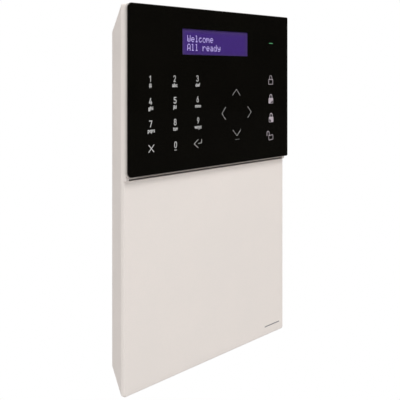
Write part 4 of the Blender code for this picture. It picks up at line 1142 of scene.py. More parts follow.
def chip_legs(shape, x0, x1, z0, z1, top, board, pitch=0.8, leg=0.35, sides="LRTB", out=1.1, toward=1, mat=0):
    """Gull-wing legs round a chip. top is the leg's root, board the surface it stands on, toward the sign of Y to it."""
    spots = []
    if "L" in sides or "R" in sides:
        n = int((z1 - z0 - 1.0) / pitch)
        start = (z0 + z1) / 2 - (n - 1) * pitch / 2
        for k in range(n):
            if "L" in sides:
                spots.append((x0, start + k * pitch, -1, 0))
            if "R" in sides:
                spots.append((x1, start + k * pitch, 1, 0))
    if "T" in sides or "B" in sides:
        n = int((x1 - x0 - 1.0) / pitch)
        start = (x0 + x1) / 2 - (n - 1) * pitch / 2
        for k in range(n):
            if "B" in sides:
                spots.append((start + k * pitch, z0, 0, -1))
            if "T" in sides:
                spots.append((start + k * pitch, z1, 0, 1))
    t = 0.1
    for x, z, dx, dz in spots:
        path = [(-0.2, top), (out * 0.35, top), (out * 0.55, board - toward * t), (out, board - toward * t)]
        part = bmesh.new()
        rings = []
        for along, y in path:
            cx, cz = x + dx * along, z + dz * along
            wx, wz = abs(dz) * leg / 2, abs(dx) * leg / 2
            rings.append(
                [
                    part.verts.new(Vector(q) * MM)
                    for q in ((cx - wx, y - t, cz - wz), (cx + wx, y - t, cz + wz), (cx + wx, y + t, cz + wz), (cx - wx, y + t, cz - wz))
                ]
            )
        for near, far in zip(rings, rings[1:]):
            for k in range(4):
                j = (k + 1) % 4
                part.faces.new((near[k], near[j], far[j], far[k]))
        part.faces.new(rings[0])
        part.faces.new(rings[-1])
        shape.take(part, mat)


legs = Shape()
chip_legs(legs, -30.0, -21.0, 44.0, 53.0, -18.9, -19.4, pitch=0.8, toward=-1)
piece("touch_controller_legs", legs, solder_paint, "cover")

# ------------------------------------------------------------------ rear plate
def build_wall_plate():
    """The rear plate with its moulded back: a sunk field inside a flat rim, ribs, and pads round every opening."""
    part = bmesh.new()
    part.from_mesh(NODES["rear_plate"].data)
    bmesh.ops.remove_doubles(part, verts=part.verts[:], dist=0.000002)
    for f in part.faces:
        f.material_index = 0
    mesh = bpy.data.meshes.new("wall_plate")
    part.to_mesh(mesh)
    part.free()
    mesh.materials.clear()

    low = -0.7
    field = Shape()
    field.loft([(low, rounded(-57.0, 57.0, -92.8, 75.0, 2.2, 6)), (1.0, rounded(-57.4, 57.4, -93.2, 75.4, 2.6, 6))])
    for x0, x1 in ((-56.0, -29.5), (-10.5, 10.5), (29.5, 56.0)):
        field.loft([(low, rounded(x0, x1, 79.0, 92.5, 2.0, 5)), (1.0, rounded(x0 - 0.4, x1 + 0.4, 78.6, 92.9, 2.4, 5))])
    for x0, x1 in ((-40.0, -6.0), (6.0, 40.0)):
        field.loft([(low, rounded(x0, x1, -101.2, -96.6, 1.2, 4)), (1.0, rounded(x0 - 0.3, x1 + 0.3, -101.5, -96.3, 1.5, 4))])
    lands = Shape()
    lands.prism(circle(-20.0, -34.0, 11.0, 48), -2.0, 3.0)
    lands.prism(circle(30.0, -34.0, 6.0, 36), -2.0, 3.0)
    lands.prism(circle(19.0, -79.6, 9.2, 48), -2.0, 3.0)
    ribs = Shape()
    for x, z0, z1 in ((-36.0, -95.0, 77.0), (36.0, -95.0, 77.0), (0.0, -95.0, 10.0), (0.0, 50.0, 77.0)):
        ribs.box(x - 0.75, x + 0.75, -2.1, 3.1, z0, z1, 0)
    cross = Shape()
    for z in (50.0, 10.0, -34.2, -66.0):
        cross.box(-59.0, 59.0, -2.2, 3.2, z - 0.75, z + 0.75, 0)
    cutter = carve(field.mesh("field"), ("DIFFERENCE", lands), ("DIFFERENCE", ribs), ("DIFFERENCE", cross))
    sunk = Shape()
    sunk.bm.from_mesh(cutter)
    bpy.data.meshes.remove(cutter)

    # Knock-out for a second cable, dished ejector marks and two insert rings
    grooves = Shape()
    grooves.turned([(6.4, -1.6), (7.0, -1.6), (7.0, 1.0), (6.4, 1.0)], (19.0, 0, -79.6), "Y", 48, closed=True)
    for x in (-46.5, 46.5):
        grooves.turned([(3.0, low - 0.35), (3.5, low - 0.35), (3.5, 0.5), (3.0, 0.5)], (x, 0, 20.5), "Y", 40, closed=True)
    dishes = Shape()
    for x, z in (
        (-46.5, 62.0), (46.5, 62.0), (-18.0, 62.0), (18.0, 62.0), (-46.5, 36.0), (46.5, 36.0), (-46.5, -12.0), (46.5, -12.0),
        (-18.0, -6.0), (18.0, -12.0), (-46.5, -50.0), (46.5, -50.0), (18.0, -52.0), (-18.0, -79.6), (-46.5, -79.6), (46.5, -79.6),
    ):  # fmt: skip
        dishes.turned([(0, low - 0.14), (2.2, low - 0.12), (2.8, low), (2.8, 0.4), (0, 0.4)], (x, 0, z), "Y", 32)
    mesh = carve(mesh, ("DIFFERENCE", sunk), ("DIFFERENCE", grooves), ("DIFFERENCE", dishes))
    round_off(place("wall_plate", mesh, [plate_paint], "rear", ("rear_plate",)), 0.22, 2)

    label = Shape().prism(rounded(-30.0, 30.0, 15.0, 45.0, 1.6, 6), low - 0.14, low + 0.02, 0.04, 1)
    piece("rating_label", label, label_paint, "rear", angle=60)
    ink = Shape()
    near, far = low + 0.012, low + 0.03
    ink.stroke(rounded(-28.6, 28.6, 16.4, 43.6, 1.0, 4), 0.25, near, far, closed=True)
    for x0, x1, z in ((-26.0, 4.0, 40.2), (-26.0, -4.0, 37.0), (-26.0, 0.0, 34.2), (-26.0, -9.0, 31.4), (-26.0, 2.0, 28.6)):
        ink.prism([(x0, z), (x1, z), (x1, z + 1.0), (x0, z + 1.0)], near, far)
    ink.prism([(-26.0, 23.6), (26.0, 23.6), (26.0, 23.8), (-26.0, 23.8)], near, far)
    for k in range(9):
        x = -24.0 + 5.6 * k
        ink.stroke(rounded(x, x + 3.6, 18.4, 21.6, 0.3, 2), 0.2, near, far, closed=True)
    ink.stroke(rounded(9.0, 25.6, 28.6, 41.2, 0.8, 3), 0.2, near, far, closed=True)
    for k in range(7):
        x = 10.6 + 2.1 * k
        ink.prism([(x, 30.4), (x + (0.6, 1.2, 0.4)[k % 3], 30.4), (x + (0.6, 1.2, 0.4)[k % 3], 39.4), (x, 39.4)], near, far)
    piece("rating_label_ink", ink, label_ink_paint, "rear", angle=60)


build_wall_plate()
dress("main_board", pcb_paint, 0.12, 1)

ON = -8.4
BOARD = (-57.0, 57.0, -26.0, 78.0)
KEEP_OUT = [
    (-9, 9, 64, 72), (-8.5, 8.5, 56, 66), (-9.5, 7.5, 22.5, 39.5), (-17, 9, 40, 56), (-51, -25, 33, 59), (17, 39, 49, 78),
    (28, 52, 2.5, 27), (32, 49.6, -26, -3), (-47, -4.4, -26, -13), (11, 23, -15, 7), (-6, 6, -3, 9), (-4, 4, -13, -5),
    (-31, -18, -7, 6), (43, 51, 37, 45), (21, 33, -26, -19.4), (5, 13, -26, -16.6), (-42, -22, 64, 72),
    (-56, -48, -25, -17), (48, 56, -19, -11), (-56, -48, 69, 77), (48, 56, 69, 77),
]  # fmt: skip


def free_spot(w, h, tries=200, margin=0.5):
    """A place on the board for a w by h part, clear of everything placed so far."""
    for _ in range(tries):
        x = round(random.uniform(BOARD[0] + 3 + w / 2, BOARD[1] - 3 - w / 2) * 2) / 2
        z = round(random.uniform(BOARD[2] + 2 + h / 2, BOARD[3] - 2 - h / 2) * 2) / 2
        box = (x - w / 2 - margin, x + w / 2 + margin, z - h / 2 - margin, z + h / 2 + margin)
        if all(box[1] < k[0] or box[0] > k[1] or box[3] < k[2] or box[2] > k[3] for k in KEEP_OUT):
            KEEP_OUT.append(box)
            return x, z
    return None


def build_board_parts():
    surf = -8.1
    ic_body, ic_legs, marks = Shape(), Shape(), Shape()
    for w, h, sides, pitch in (
        (6.0, 8.6, "LR", 1.27), (6.0, 5.0, "LR", 1.27), (6.0, 10.0, "LR", 1.27), (5.0, 5.0, "LRTB", 0.65),
        (7.0, 7.0, "LRTB", 0.65), (6.0, 5.0, "LR", 1.27), (5.0, 6.4, "LR", 0.65),
    ):  # fmt: skip
        spot = free_spot(w + 2.4, h + 2.4)
        if not spot:
            continue
        x, z = spot
        ic_body.box(x - w / 2 + 1.0, x + w / 2 - 1.0, surf - 1.6, surf - 0.15, z - h / 2, z + h / 2, 0.12)
        marks.prism(circle(x - w / 2 + 1.7, z + h / 2 - 0.8, 0.3, 12), surf - 1.615, surf - 1.58)
        chip_legs(ic_legs, x - w / 2 + 1.0, x + w / 2 - 1.0, z - h / 2, z + h / 2, surf - 0.8, surf, pitch, min(0.42, pitch * 0.5), sides)
        marks.stroke(rounded(x - w / 2 - 0.5, x + w / 2 + 0.5, z - h / 2 - 0.5, z + h / 2 + 0.5, 0.1, 1), 0.14, surf - 0.03, surf + 0.02, closed=True)
    piece("small_chips", ic_body, chip_paint, "rear")
    piece("small_chip_legs", ic_legs, solder_paint, "rear")

    cans, tops = Shape(), Shape()
    for r, h in ((3.1, 5.6), (3.1, 5.6), (2.6, 5.2)):
        spot = free_spot(2 * r + 1.2, 2 * r + 1.2)
        if not spot:
            continue
        x, z = spot
        cans.turned([(0, surf), (r, surf), (r, surf - 1.0), (r - 0.12, surf - 1.15), (r, surf - 1.3), (r, surf - h + 0.5), (r - 0.4, surf - h), (0, surf - h)], (x, 0, z), "Y", 32)
        tops.prism([(x - r * 0.9, z + r * 0.35), (x + r * 0.9, z + r * 0.35), (x + r * 0.62, z + r * 0.70), (x, z + r * 0.86), (x - r * 0.62, z + r * 0.70)], surf - h - 0.03, surf - h + 0.05)
        tops.box(x - r - 0.2, x + r + 0.2, surf - 0.9, surf - 0.05, z - r - 0.2, z + r + 0.2, 0.3)
    piece("smd_capacitor_cans", cans, tin_paint, "rear")
    piece("smd_capacitor_bases", tops, chip_paint, "rear")

    bodies, ends, tan = Shape(), Shape(), Shape()
    for k in range(120):
        turn = random.random() < 0.5
        long, wide, tall = random.choice(((1.6, 0.8, 0.5), (2.0, 1.25, 0.6), (1.6, 0.8, 0.45), (3.2, 1.6, 0.7)))
        w, h = (long, wide) if turn else (wide, long)
        spot = free_spot(w + 0.6, h + 0.6, 40, 0.35)
        if not spot:
            continue
        x, z = spot
        shape = bodies if k % 3 else tan
        cap = 0.18 * long
        if turn:
            shape.box(x - w / 2 + cap, x + w / 2 - cap, surf - tall, surf - 0.04, z - h / 2, z + h / 2, 0.04, 1)
            for s in (-1, 1):
                a, b = sorted((x + s * w / 2, x + s * (w / 2 - cap)))
                ends.box(a, b, surf - tall - 0.01, surf - 0.02, z - h / 2 - 0.01, z + h / 2 + 0.01, 0.05, 1)
                ends.box(a - 0.15 * (s < 0), b + 0.15 * (s > 0), surf - 0.12, surf - 0.01, z - h / 2 - 0.1, z + h / 2 + 0.1, 0.03, 1)
        else:
            shape.box(x - w / 2, x + w / 2, surf - tall, surf - 0.04, z - h / 2 + cap, z + h / 2 - cap, 0.04, 1)
            for s in (-1, 1):
                a, b = sorted((z + s * h / 2, z + s * (h / 2 - cap)))
                ends.box(x - w / 2 - 0.01, x + w / 2 + 0.01, surf - tall - 0.01, surf - 0.02, a, b, 0.05, 1)
                ends.box(x - w / 2 - 0.1, x + w / 2 + 0.1, surf - 0.12, surf - 0.01, a - 0.15 * (s < 0), b + 0.15 * (s > 0), 0.03, 1)
    piece("chip_resistors", bodies, chip_paint, "rear")
    piece("chip_capacitors", tan, ceramic_paint, "rear")
    piece("chip_part_ends", ends, solder_paint, "rear")

    # Printed outlines round the large parts
    for x0, x1, z0, z1 in (
        (-9.5, 9.5, 65.3, 71.7), (-9.3, 7.3, 22.7, 39.3), (-16.8, 8.8, 40.2, 55.8), (-50.8, -25.2, 33.2, 58.8),
        (17.2, 38.8, 49.2, 77.4), (28.2, 51.8, 2.7, 26.8), (32.2, 49.4, -25.6, -3.2), (-46.8, -4.6, -25.6, -13.2),
        (11.2, 22.8, -14.8, 6.8), (-30.8, -18.2, -6.8, 5.8), (43.2, 50.8, 37.2, 44.8), (21.2, 32.8, -25.6, -19.6),
    ):  # fmt: skip
        marks.stroke([(x0, z0), (x1, z0), (x1, z1), (x0, z1)], 0.16, surf - 0.03, surf + 0.02, closed=True)
    for x, z, r in ((0.0, 3.0, 5.5), (0.0, -9.0, 3.6)):
        marks.stroke(circle(x, z, r, 32), 0.16, surf - 0.03, surf + 0.02, closed=True)
    piece("board_printing", marks, silk_paint, "rear")

    # Wider tracks and plated holes on top of the drawn pattern
    tracks, pads = Shape(), Shape()
    for _ in range(46):
        x = round(random.uniform(-53, 53))
        z = round(random.uniform(-23, 74))
        run = [(x, z)]
        turn = random.choice((0, 90, 180, 270))
        for _ in range(random.randint(2, 5)):
            step = random.uniform(3, 15)
            x2 = x + step * math.cos(math.radians(turn))
            z2 = z + step * math.sin(math.radians(turn))
            if not (-55 < x2 < 55 and -24.5 < z2 < 76.5):
                break
            run.append((x2, z2))
            x, z = x2, z2
            turn += random.choice((-45, 45, 45, -45, 90))
        if len(run) > 1:
            tracks.stroke(run, random.choice((0.3, 0.3, 0.45, 0.8)), surf - 0.018, surf + 0.02)
            for px, pz in (run[0], run[-1]):
                pads.turned([(0.25, 0.02), (0.5, 0.02), (0.5, -0.03), (0.25, -0.03)], (px, surf, pz), "Y", 16, closed=True)
    for x, z in BOARD_SCREWS:
        pads.turned([(1.5, 0.02), (3.0, 0.02), (3.0, -0.03), (1.5, -0.03)], (x, surf, z), "Y", 32, closed=True)
    piece("board_tracks", tracks, track_paint, "rear")
    piece("board_pads", pads, gold_paint, "rear")

    lamps = Shape()
    for x, z in ((54.0, 60.0), (54.0, 56.0), (54.0, 52.0)):
        lamps.box(x - 0.8, x + 0.8, surf - 0.9, surf - 0.05, z - 0.5, z + 0.5, 0.1)
    piece("board_lamps", lamps, light_paint, "rear")


build_board_parts()


def build_large_parts():
    # Processor: square body with a chamfered corner dot and legs on four sides
    body = Shape().box(-8.0, 6.0, ON - 1.4, ON - 0.05, 24.0, 38.0, 0.22, 2)
    body.turned([(0, -0.0), (0.7, -0.0), (0.62, 0.05), (0, 0.05)], (-6.6, ON - 1.44, 36.6), "Y", 20)
    piece("processor_body", body, chip_paint, "rear", ("processor",))
    pins = Shape()
    chip_legs(pins, -8.0, 6.0, 24.0, 38.0, ON - 0.6, -8.12, 0.65, 0.28, out=1.0)
    piece("processor_legs", pins, solder_paint, "rear")

    # Radio can: drawn lid with vent holes and folded skirt tabs
    can = Shape().box(-16.0, 8.0, ON - 3.0, ON, 41.0, 55.0, 0.4, 3)
    vents = Shape()
    for i in range(7):
        for j in range(3):
            vents.prism(circle(-12.5 + 2.8 * i, 44.2 + 3.6 * j, 0.55, 16), ON - 4.0, ON - 2.6)
    mesh = carve(can.mesh("can"), ("DIFFERENCE", vents))
    place("radio_can", soften(mesh, 40), [tin_paint], "rear", ("radio_shield",), weighted=True)
    tabs = Shape()
    for i in range(5):
        for z in (40.7, 55.3):
            tabs.box(-14.5 + 4.6 * i, -12.7 + 4.6 * i, ON - 1.1, ON + 0.2, z - 0.18, z + 0.18, 0.08, 1)
    piece("radio_can_tabs", tabs, tin_paint, "rear")

    # Cellular module: can on a carrier board with half-round edge contacts
    dress("cellular_module", tin_paint, 0.3, 3)
    base = Shape()
    for i in range(16):
        for x in (-50.15, -25.85):
            base.box(x - 0.35, x + 0.35, ON - 0.7, ON + 0.22, 35.2 + 1.4 * i, 36.0 + 1.4 * i, 0.1, 1)
    piece("module_contacts", base, gold_paint, "rear")
    label = Shape().box(-46.0, -30.0, ON - 2.86, ON - 2.78, 38.5, 53.5, 0.02, 1)
    piece("module_label", label, silk_paint, "rear")

    dress("sim_socket", tin_paint, 0.12, 2)
    card = Shape()
    card.prism(
        [(20.5, 52.0)] and [(21.7, 52.0), (34.3, 52.0), (35.5, 53.2), (35.5, 75.8), (34.3, 77.0), (23.3, 77.0), (20.5, 74.2), (20.5, 53.2)],
        ON - 1.9, ON - 1.1, 0.12, 2,
    )  # fmt: skip
    piece("sim_card_body", card, sim_paint, "sim_card", ("sim_card",))
    contacts = Shape()
    for i in range(2):
        for j in range(3):
            contacts.box(24.2 + 4.0 * i, 27.6 + 4.0 * i, ON - 1.93, ON - 1.86, 55.0 + 2.6 * j, 57.2 + 2.6 * j, 0.02, 1)
    piece("sim_contacts", contacts, gold_paint, "sim_card")

    # Coin cell in its clip
    dress("coin_cell_clip", tin_paint, 0.1, 2)
    cell = Shape()
    cell.turned(
        [(0, ON - 1.1), (9.0, ON - 1.1), (9.4, ON - 1.35), (9.4, ON - 1.8), (10.0, ON - 2.0), (10.0, ON - 4.0), (9.7, ON - 4.3),
         (8.6, ON - 4.3), (8.5, ON - 4.22), (0, ON - 4.22)],
        (40.0, 0, 15.0), "Y", 72,
    )  # fmt: skip
    cell.box(36.8, 43.2, ON - 4.29, ON - 4.2, 14.5, 15.5, 0.02, 1)
    cell.box(39.5, 40.5, ON - 4.29, ON - 4.2, 11.8, 18.2, 0.02, 1)
    piece("coin_cell_body", cell, steel_paint, "rear", ("coin_cell",))
    arm = Shape()
    arm.box(36.5, 43.5, ON - 4.62, ON - 4.36, 20.0, 26.6, 0.1, 2)
    arm.box(36.5, 43.5, ON - 4.5, ON - 0.4, 26.2, 26.6, 0.1, 2)
    piece("coin_cell_arm", arm, tin_paint, "rear")

    dress("ethernet_jack", tin_paint, 0.2, 2)
    inside = Shape()
    for i in range(8):
        inside.box(36.6 + 1.15 * i, 37.1 + 1.15 * i, ON - 10.2, ON - 9.7, -24.0, -9.0, 0.08, 1)
    piece("jack_contacts", inside, gold_paint, "rear")
    wings = Shape()
    for x in (33.0, 48.6):
        s = 1 if x > 40 else -1
        wings.box(min(x, x + 0.25 * s), max(x, x + 0.25 * s), ON - 9.0, ON - 3.0, -18.0, -10.0, 0.1, 1)
    piece("jack_springs", wings, inner_tin_paint, "rear")

    dress("terminal_block", block_paint, 0.25, 2)
    screws = Shape()
    cages = Shape()
    for i in range(8):
        x = -43.2 + 5.08 * i
        screws.turned([(0, ON - 8.1), (1.35, ON - 8.1), (1.5, ON - 7.9), (1.5, ON - 6.7), (0, ON - 6.7)], (x, 0, -19.0), "Y", 24)
        cages.box(x - 1.5, x + 1.5, ON - 4.3, ON - 1.4, -22.2, -17.4, 0.15, 1)
    cuts = Shape()
    for i in range(8):
        x = -43.2 + 5.08 * i
        cuts.box(x - 1.6, x + 1.6, ON - 9.0, ON - 7.6, -19.25, -18.75, 0)
    place("terminal_screws", soften(carve(screws.mesh("ts"), ("DIFFERENCE", cuts)), 40), [steel_paint], "rear", ())
    piece("terminal_cages", cages, tin_paint, "rear")

    dress("relay", relay_paint, 0.5, 3)
    top = Shape()
    top.stroke(rounded(13.2, 20.8, -12.8, 4.8, 0.6, 4), 0.25, ON - 12.02, ON - 11.9, closed=True)
    piece("relay_top_line", top, silk_paint, "rear")

    for name, node, z, r, h in (("large", "capacitor_large", 3.0, 5.0, 11.5), ("small", "capacitor_small", -9.0, 3.15, 8.5)):
        sleeve = Shape()
        top = ON - h
        sleeve.turned(
            [(0, ON), (r - 0.3, ON), (r, ON - 0.4), (r, ON - 1.6), (r - 0.28, ON - 2.0), (r, ON - 2.4), (r, top + 0.5),
             (r - 0.15, top + 0.15), (r - 0.5, top), (r * 0.80, top), (r * 0.78, top + 0.25), (0, top + 0.25)],
            (0.0, 0, z), "Y", 48,
        )  # fmt: skip
        piece(f"capacitor_{name}_sleeve", sleeve, sleeve_paint, "rear", (node,))
        lid = Shape().turned([(0, top + 0.3), (r * 0.77, top + 0.3), (r * 0.77, top + 0.2), (r * 0.7, top + 0.12), (0, top + 0.12)], (0.0, 0, z), "Y", 48)
        score = Shape().box(-r * 0.55, r * 0.55, top, top + 0.2, z - 0.12, z + 0.12, 0)
        score2 = Shape().box(-0.12, 0.12, top, top + 0.2, z - r * 0.55, z + r * 0.55, 0)
        place(f"capacitor_{name}_top", soften(carve(lid.mesh("lid"), ("DIFFERENCE", score), ("DIFFERENCE", score2)), 40), [tin_paint], "rear", ())

    coil = Shape()
    coil.box(-30.0, -19.0, ON - 1.3, ON, -6.0, 5.0, 1.4, 3)
    coil.turned([(0, ON - 1.2), (5.2, ON - 1.2), (5.3, ON - 1.4), (5.3, ON - 4.0), (4.9, ON - 4.4), (0, ON - 4.4)], (-24.5, 0, -0.5), "Y", 48)
    piece("power_inductor_core", coil, ferrite_paint, "rear", ("power_inductor",))

    dress("reset_switch", tin_paint, 0.15, 2)
    dress("power_switch", tin_paint, 0.15, 2)
    button = Shape().turned([(0, -9.5), (1.65, -9.5), (1.65, -12.7), (1.45, -12.95), (0, -13.0)], (47.0, 0, 41.0), "Y", 32)
    piece("reset_button_cap", button, dark_paint, "reset_button", ("reset_button",))
    slider = Shape().box(24.2, 26.2, ON - 5.4, ON - 1.8, -23.6, -21.8, 0.2, 2)
    for i in range(3):
        slider.box(24.45 + 0.45 * i, 24.65 + 0.45 * i, ON - 5.4, ON - 5.28, -23.4, -22.0, 0.04, 1)
    piece("power_slider_knob", slider, dark_paint, "power_slider", ("power_slider",))
    dress("battery_plug", light_paint, 0.25, 2)
    dress("main_connector", light_paint, 0.15, 2)
    pins = Shape()
    for i in range(16):
        pins.box(-7.65 + 1.0 * i, -7.35 + 1.0 * i, ON - 1.0, ON + 0.2, 71.0, 72.0, 0.05, 1)
    piece("connector_pins", pins, solder_paint, "rear")


build_large_parts()


def build_coils():
    turns, steps = 7, 36
    path = [(-42.0, -8.6, 68.0), (-41.6, -9.6, 68.0)]
    for i in range(turns * steps + 1):
        a = 2 * math.pi * i / steps
        along = i / (turns * steps)
        path.append((-40.0 + 16.0 * along, -12.2 + 2.6 * math.sin(a), 68.0 + 2.6 * math.cos(a)))
    shape = Shape().tube(path[2:], 0.4, 12)
    piece("antenna_helix", shape, copper_paint, "rear", ("antenna_coil",))
    foot = Shape().tube([(-40.0, -12.2, 70.5), (-41.2, -12.0, 70.2), (-41.9, -11.0, 69.6), (-42.0, -9.4, 69.2), (-42.0, -8.3, 69.2)], 0.38, 12)
    piece("antenna_foot", foot, copper_paint, "rear")

    turns, steps = 5, 36
    path = []
    for i in range(turns * steps + 1):
        a = 2 * math.pi * i / steps
        path.append((30.0 + 2.3 * math.cos(a), -11.0 + 4.0 * i / (turns * steps), -34.0 + 2.3 * math.sin(a)))
    piece("tamper_coil_spring", Shape().tube(path, 0.25, 10), steel_paint, "rear", ("tamper_spring",))


build_coils()


# ------------------------------------------------------------------ battery, strap, leads
CELL_R, CELLS, CELL_X0, CELL_Y = 7.25, 5, -50.0, -10.6


def build_battery():
    """Five cells in a shrink-film sleeve that is open at both ends, with card discs and welded tabs."""
    def outline(radius, waist, steps=14):
        points = []
        for sign in (1, -1):
            order = range(CELLS) if sign > 0 else reversed(range(CELLS))
            for i in order:
                cx = CELL_X0 + CELL_R * (2 * i + 1)
                first, last = (i == 0, i == CELLS - 1) if sign > 0 else (i == CELLS - 1, i == 0)
                lo = 180 if first else 128
                hi = 0 if last else 52
                for k in range(steps + 1):
                    a = math.radians(lo + (hi - lo) * k / steps)
                    x, y = radius * math.cos(a), radius * math.sin(a)
                    points.append((cx + sign * x, CELL_Y + sign * y))
        return points

    def ring(radius, z, part):
        return [part.verts.new((x * MM, y * MM, z * MM)) for x, y in outline(radius, 0)]

    film = bmesh.new()
    rings = [
        ring(r, z, film)
        for r, z in (
            (6.7, -91.85), (7.05, -91.9), (7.2, -91.5), (7.22, -90.6), (7.22, -43.4), (7.2, -42.5), (7.05, -42.1), (6.7, -42.15),
            (6.6, -43.4), (6.6, -90.6),
        )
    ]  # fmt: skip
    n = len(rings[0])
    for near, far in list(zip(rings, rings[1:])) + [(rings[-1], rings[0])]:
        for i in range(n):
            j = (i + 1) % n
            film.faces.new((near[i], near[j], far[j], far[i]))
    shape = Shape().take(film, 0)
    piece("battery_film", shape, wrap_paint, "rear", ("battery_pack",), angle=60)

    cans, cards, tabs = Shape(), Shape(), Shape()
    for i in range(CELLS):
        cx = CELL_X0 + CELL_R * (2 * i + 1)
        up = i % 2 == 0
        for end, plus in ((-91.7, not up), (-42.3, up)):
            out = -1 if end < -60 else 1
            base = end - out * 1.2
            if plus:
                cans.turned(
                    [(0, base), (6.4, base), (6.4, base + out * 0.3), (2.6, base + out * 0.3), (2.6, base + out * 0.9), (2.4, base + out * 1.05), (0, base + out * 1.05)],
                    (cx, CELL_Y, 0), "Z", 40,
                )  # fmt: skip
                cards.turned([(2.9, base + out * 0.3), (6.3, base + out * 0.3), (6.3, base + out * 0.55), (2.9, base + out * 0.55)], (cx, CELL_Y, 0), "Z", 40, closed=True)
            else:
                cans.turned([(0, base), (6.4, base), (6.4, base + out * 0.5), (5.9, base + out * 0.75), (5.3, base + out * 0.7), (0, base + out * 0.7)], (cx, CELL_Y, 0), "Z", 40)
    for end, pairs in ((-42.3, ((0, 1), (2, 3))), (-91.7, ((1, 2), (3, 4)))):
        out = -1 if end < -60 else 1
        for a, b in pairs:
            xa, xb = (CELL_X0 + CELL_R * (2 * k + 1) for k in (a, b))
            tabs.box(xa - 2.0, xb + 2.0, CELL_Y - 1.8, CELL_Y + 1.8, end - 0.12, end + 0.04, 0.03, 1)
            for x in (xa - 0.8, xa + 0.8, xb - 0.8, xb + 0.8):
                for y in (-0.7, 0.7):
                    tabs.turned([(0, end + out * 0.04), (0.3, end + out * 0.04), (0.2, end + out * 0.1), (0, end + out * 0.1)], (x, CELL_Y + y, 0), "Z", 10)
    piece("battery_cans", cans, steel_paint, "rear")
    piece("battery_cards", cards, card_paint, "rear")
    piece("battery_tabs", tabs, tin_paint, "rear")


build_battery()


def build_strap():
    """Woven strap pulled over the pack: rounded bends, flat feet, thin edges."""
    def bend(points, radius, steps=7):
        out = [points[0]]
        for a, b, c in zip(points, points[1:], points[2:]):
            a, b, c = Vector(a), Vector(b), Vector(c)
            u, v = (a - b).normalized(), (c - b).normalized()
            r = min(radius, (a - b).length * 0.45, (c - b).length * 0.45)
            for i in range(steps + 1):
                t = i / steps
                p = (b + u * r) * (1 - t) ** 2 + b * 2 * t * (1 - t) + (b + v * r) * t * t
                out.append(tuple(p))
        out.append(points[-1])
        return out

    middle = bend([(-59.5, -6.1), (-51.4, -6.1), (-51.25, -19.1), (23.75, -19.1), (23.9, -6.1), (32.0, -6.1)], 2.6)
    # Shallow waves where the strap drops between the cells
    dense = []
    for (ax, ay), (bx, by) in zip(middle, middle[1:]):
        n = max(1, int(math.hypot(bx - ax, by - ay) / 1.2))
        for i in range(n):
            dense.append((ax + (bx - ax) * i / n, ay + (by - ay) * i / n))
    dense.append(middle[-1])
    line = []
    for x, y in dense:
        if y < -18.0 and -48 < x < 20:
            phase = (x - CELL_X0) / (2 * CELL_R)
            y += 0.28 * (1 - abs(math.cos(math.pi * (phase - 0.5)))) ** 1.0
        line.append((x, y))
    half_t = 0.7
    part = bmesh.new()
    rows = []
    across = [(-72.0, 0.35), (-71.8, 0.75), (-71.2, 1.0), (-67.0, 1.0), (-62.8, 1.0), (-62.2, 0.75), (-62.0, 0.35)]
    for k, (x, y) in enumerate(line):
        a = Vector(line[max(k - 1, 0)])
        b = Vector(line[min(k + 1, len(line) - 1)])
        t = (b - a).normalized()
        nx, ny = t.y, -t.x
        row = []
        for z, thick in across:
            row.append((x + nx * half_t * thick, y + ny * half_t * thick, z))
        for z, thick in reversed(across):
            row.append((x - nx * half_t * thick, y - ny * half_t * thick, z))
        rows.append([part.verts.new(Vector(p) * MM) for p in row])
    m = len(rows[0])
    for near, far in zip(rows, rows[1:]):
        for i in range(m):
            j = (i + 1) % m
            part.faces.new((near[i], near[j], far[j], far[i]))
    part.faces.new(rows[0])
    part.faces.new(rows[-1])
    piece("woven_strap", Shape().take(part, 0), strap_paint, "rear", ("battery_strap",), angle=50)


build_strap()


def build_leads():
    for name, node, paint, slot, x_top, x_low in (
        ("red_lead", "battery_lead_red", red_paint, "red_wire", 7.6, 2.4),
        ("black_lead", "battery_lead_black", black_wire_paint, "black_wire", 10.4, 6.0),
    ):
        path = []
        for i in range(33):
            t = i / 32
            ease = t * t * (3 - 2 * t)
            path.append((x_top + (x_low - x_top) * ease, -11.4 + 1.9 * ease, -25.0 - 16.6 * t))
        piece(name, Shape().tube(path, 0.8, 16), paint, "rear", (node,))


build_leads()


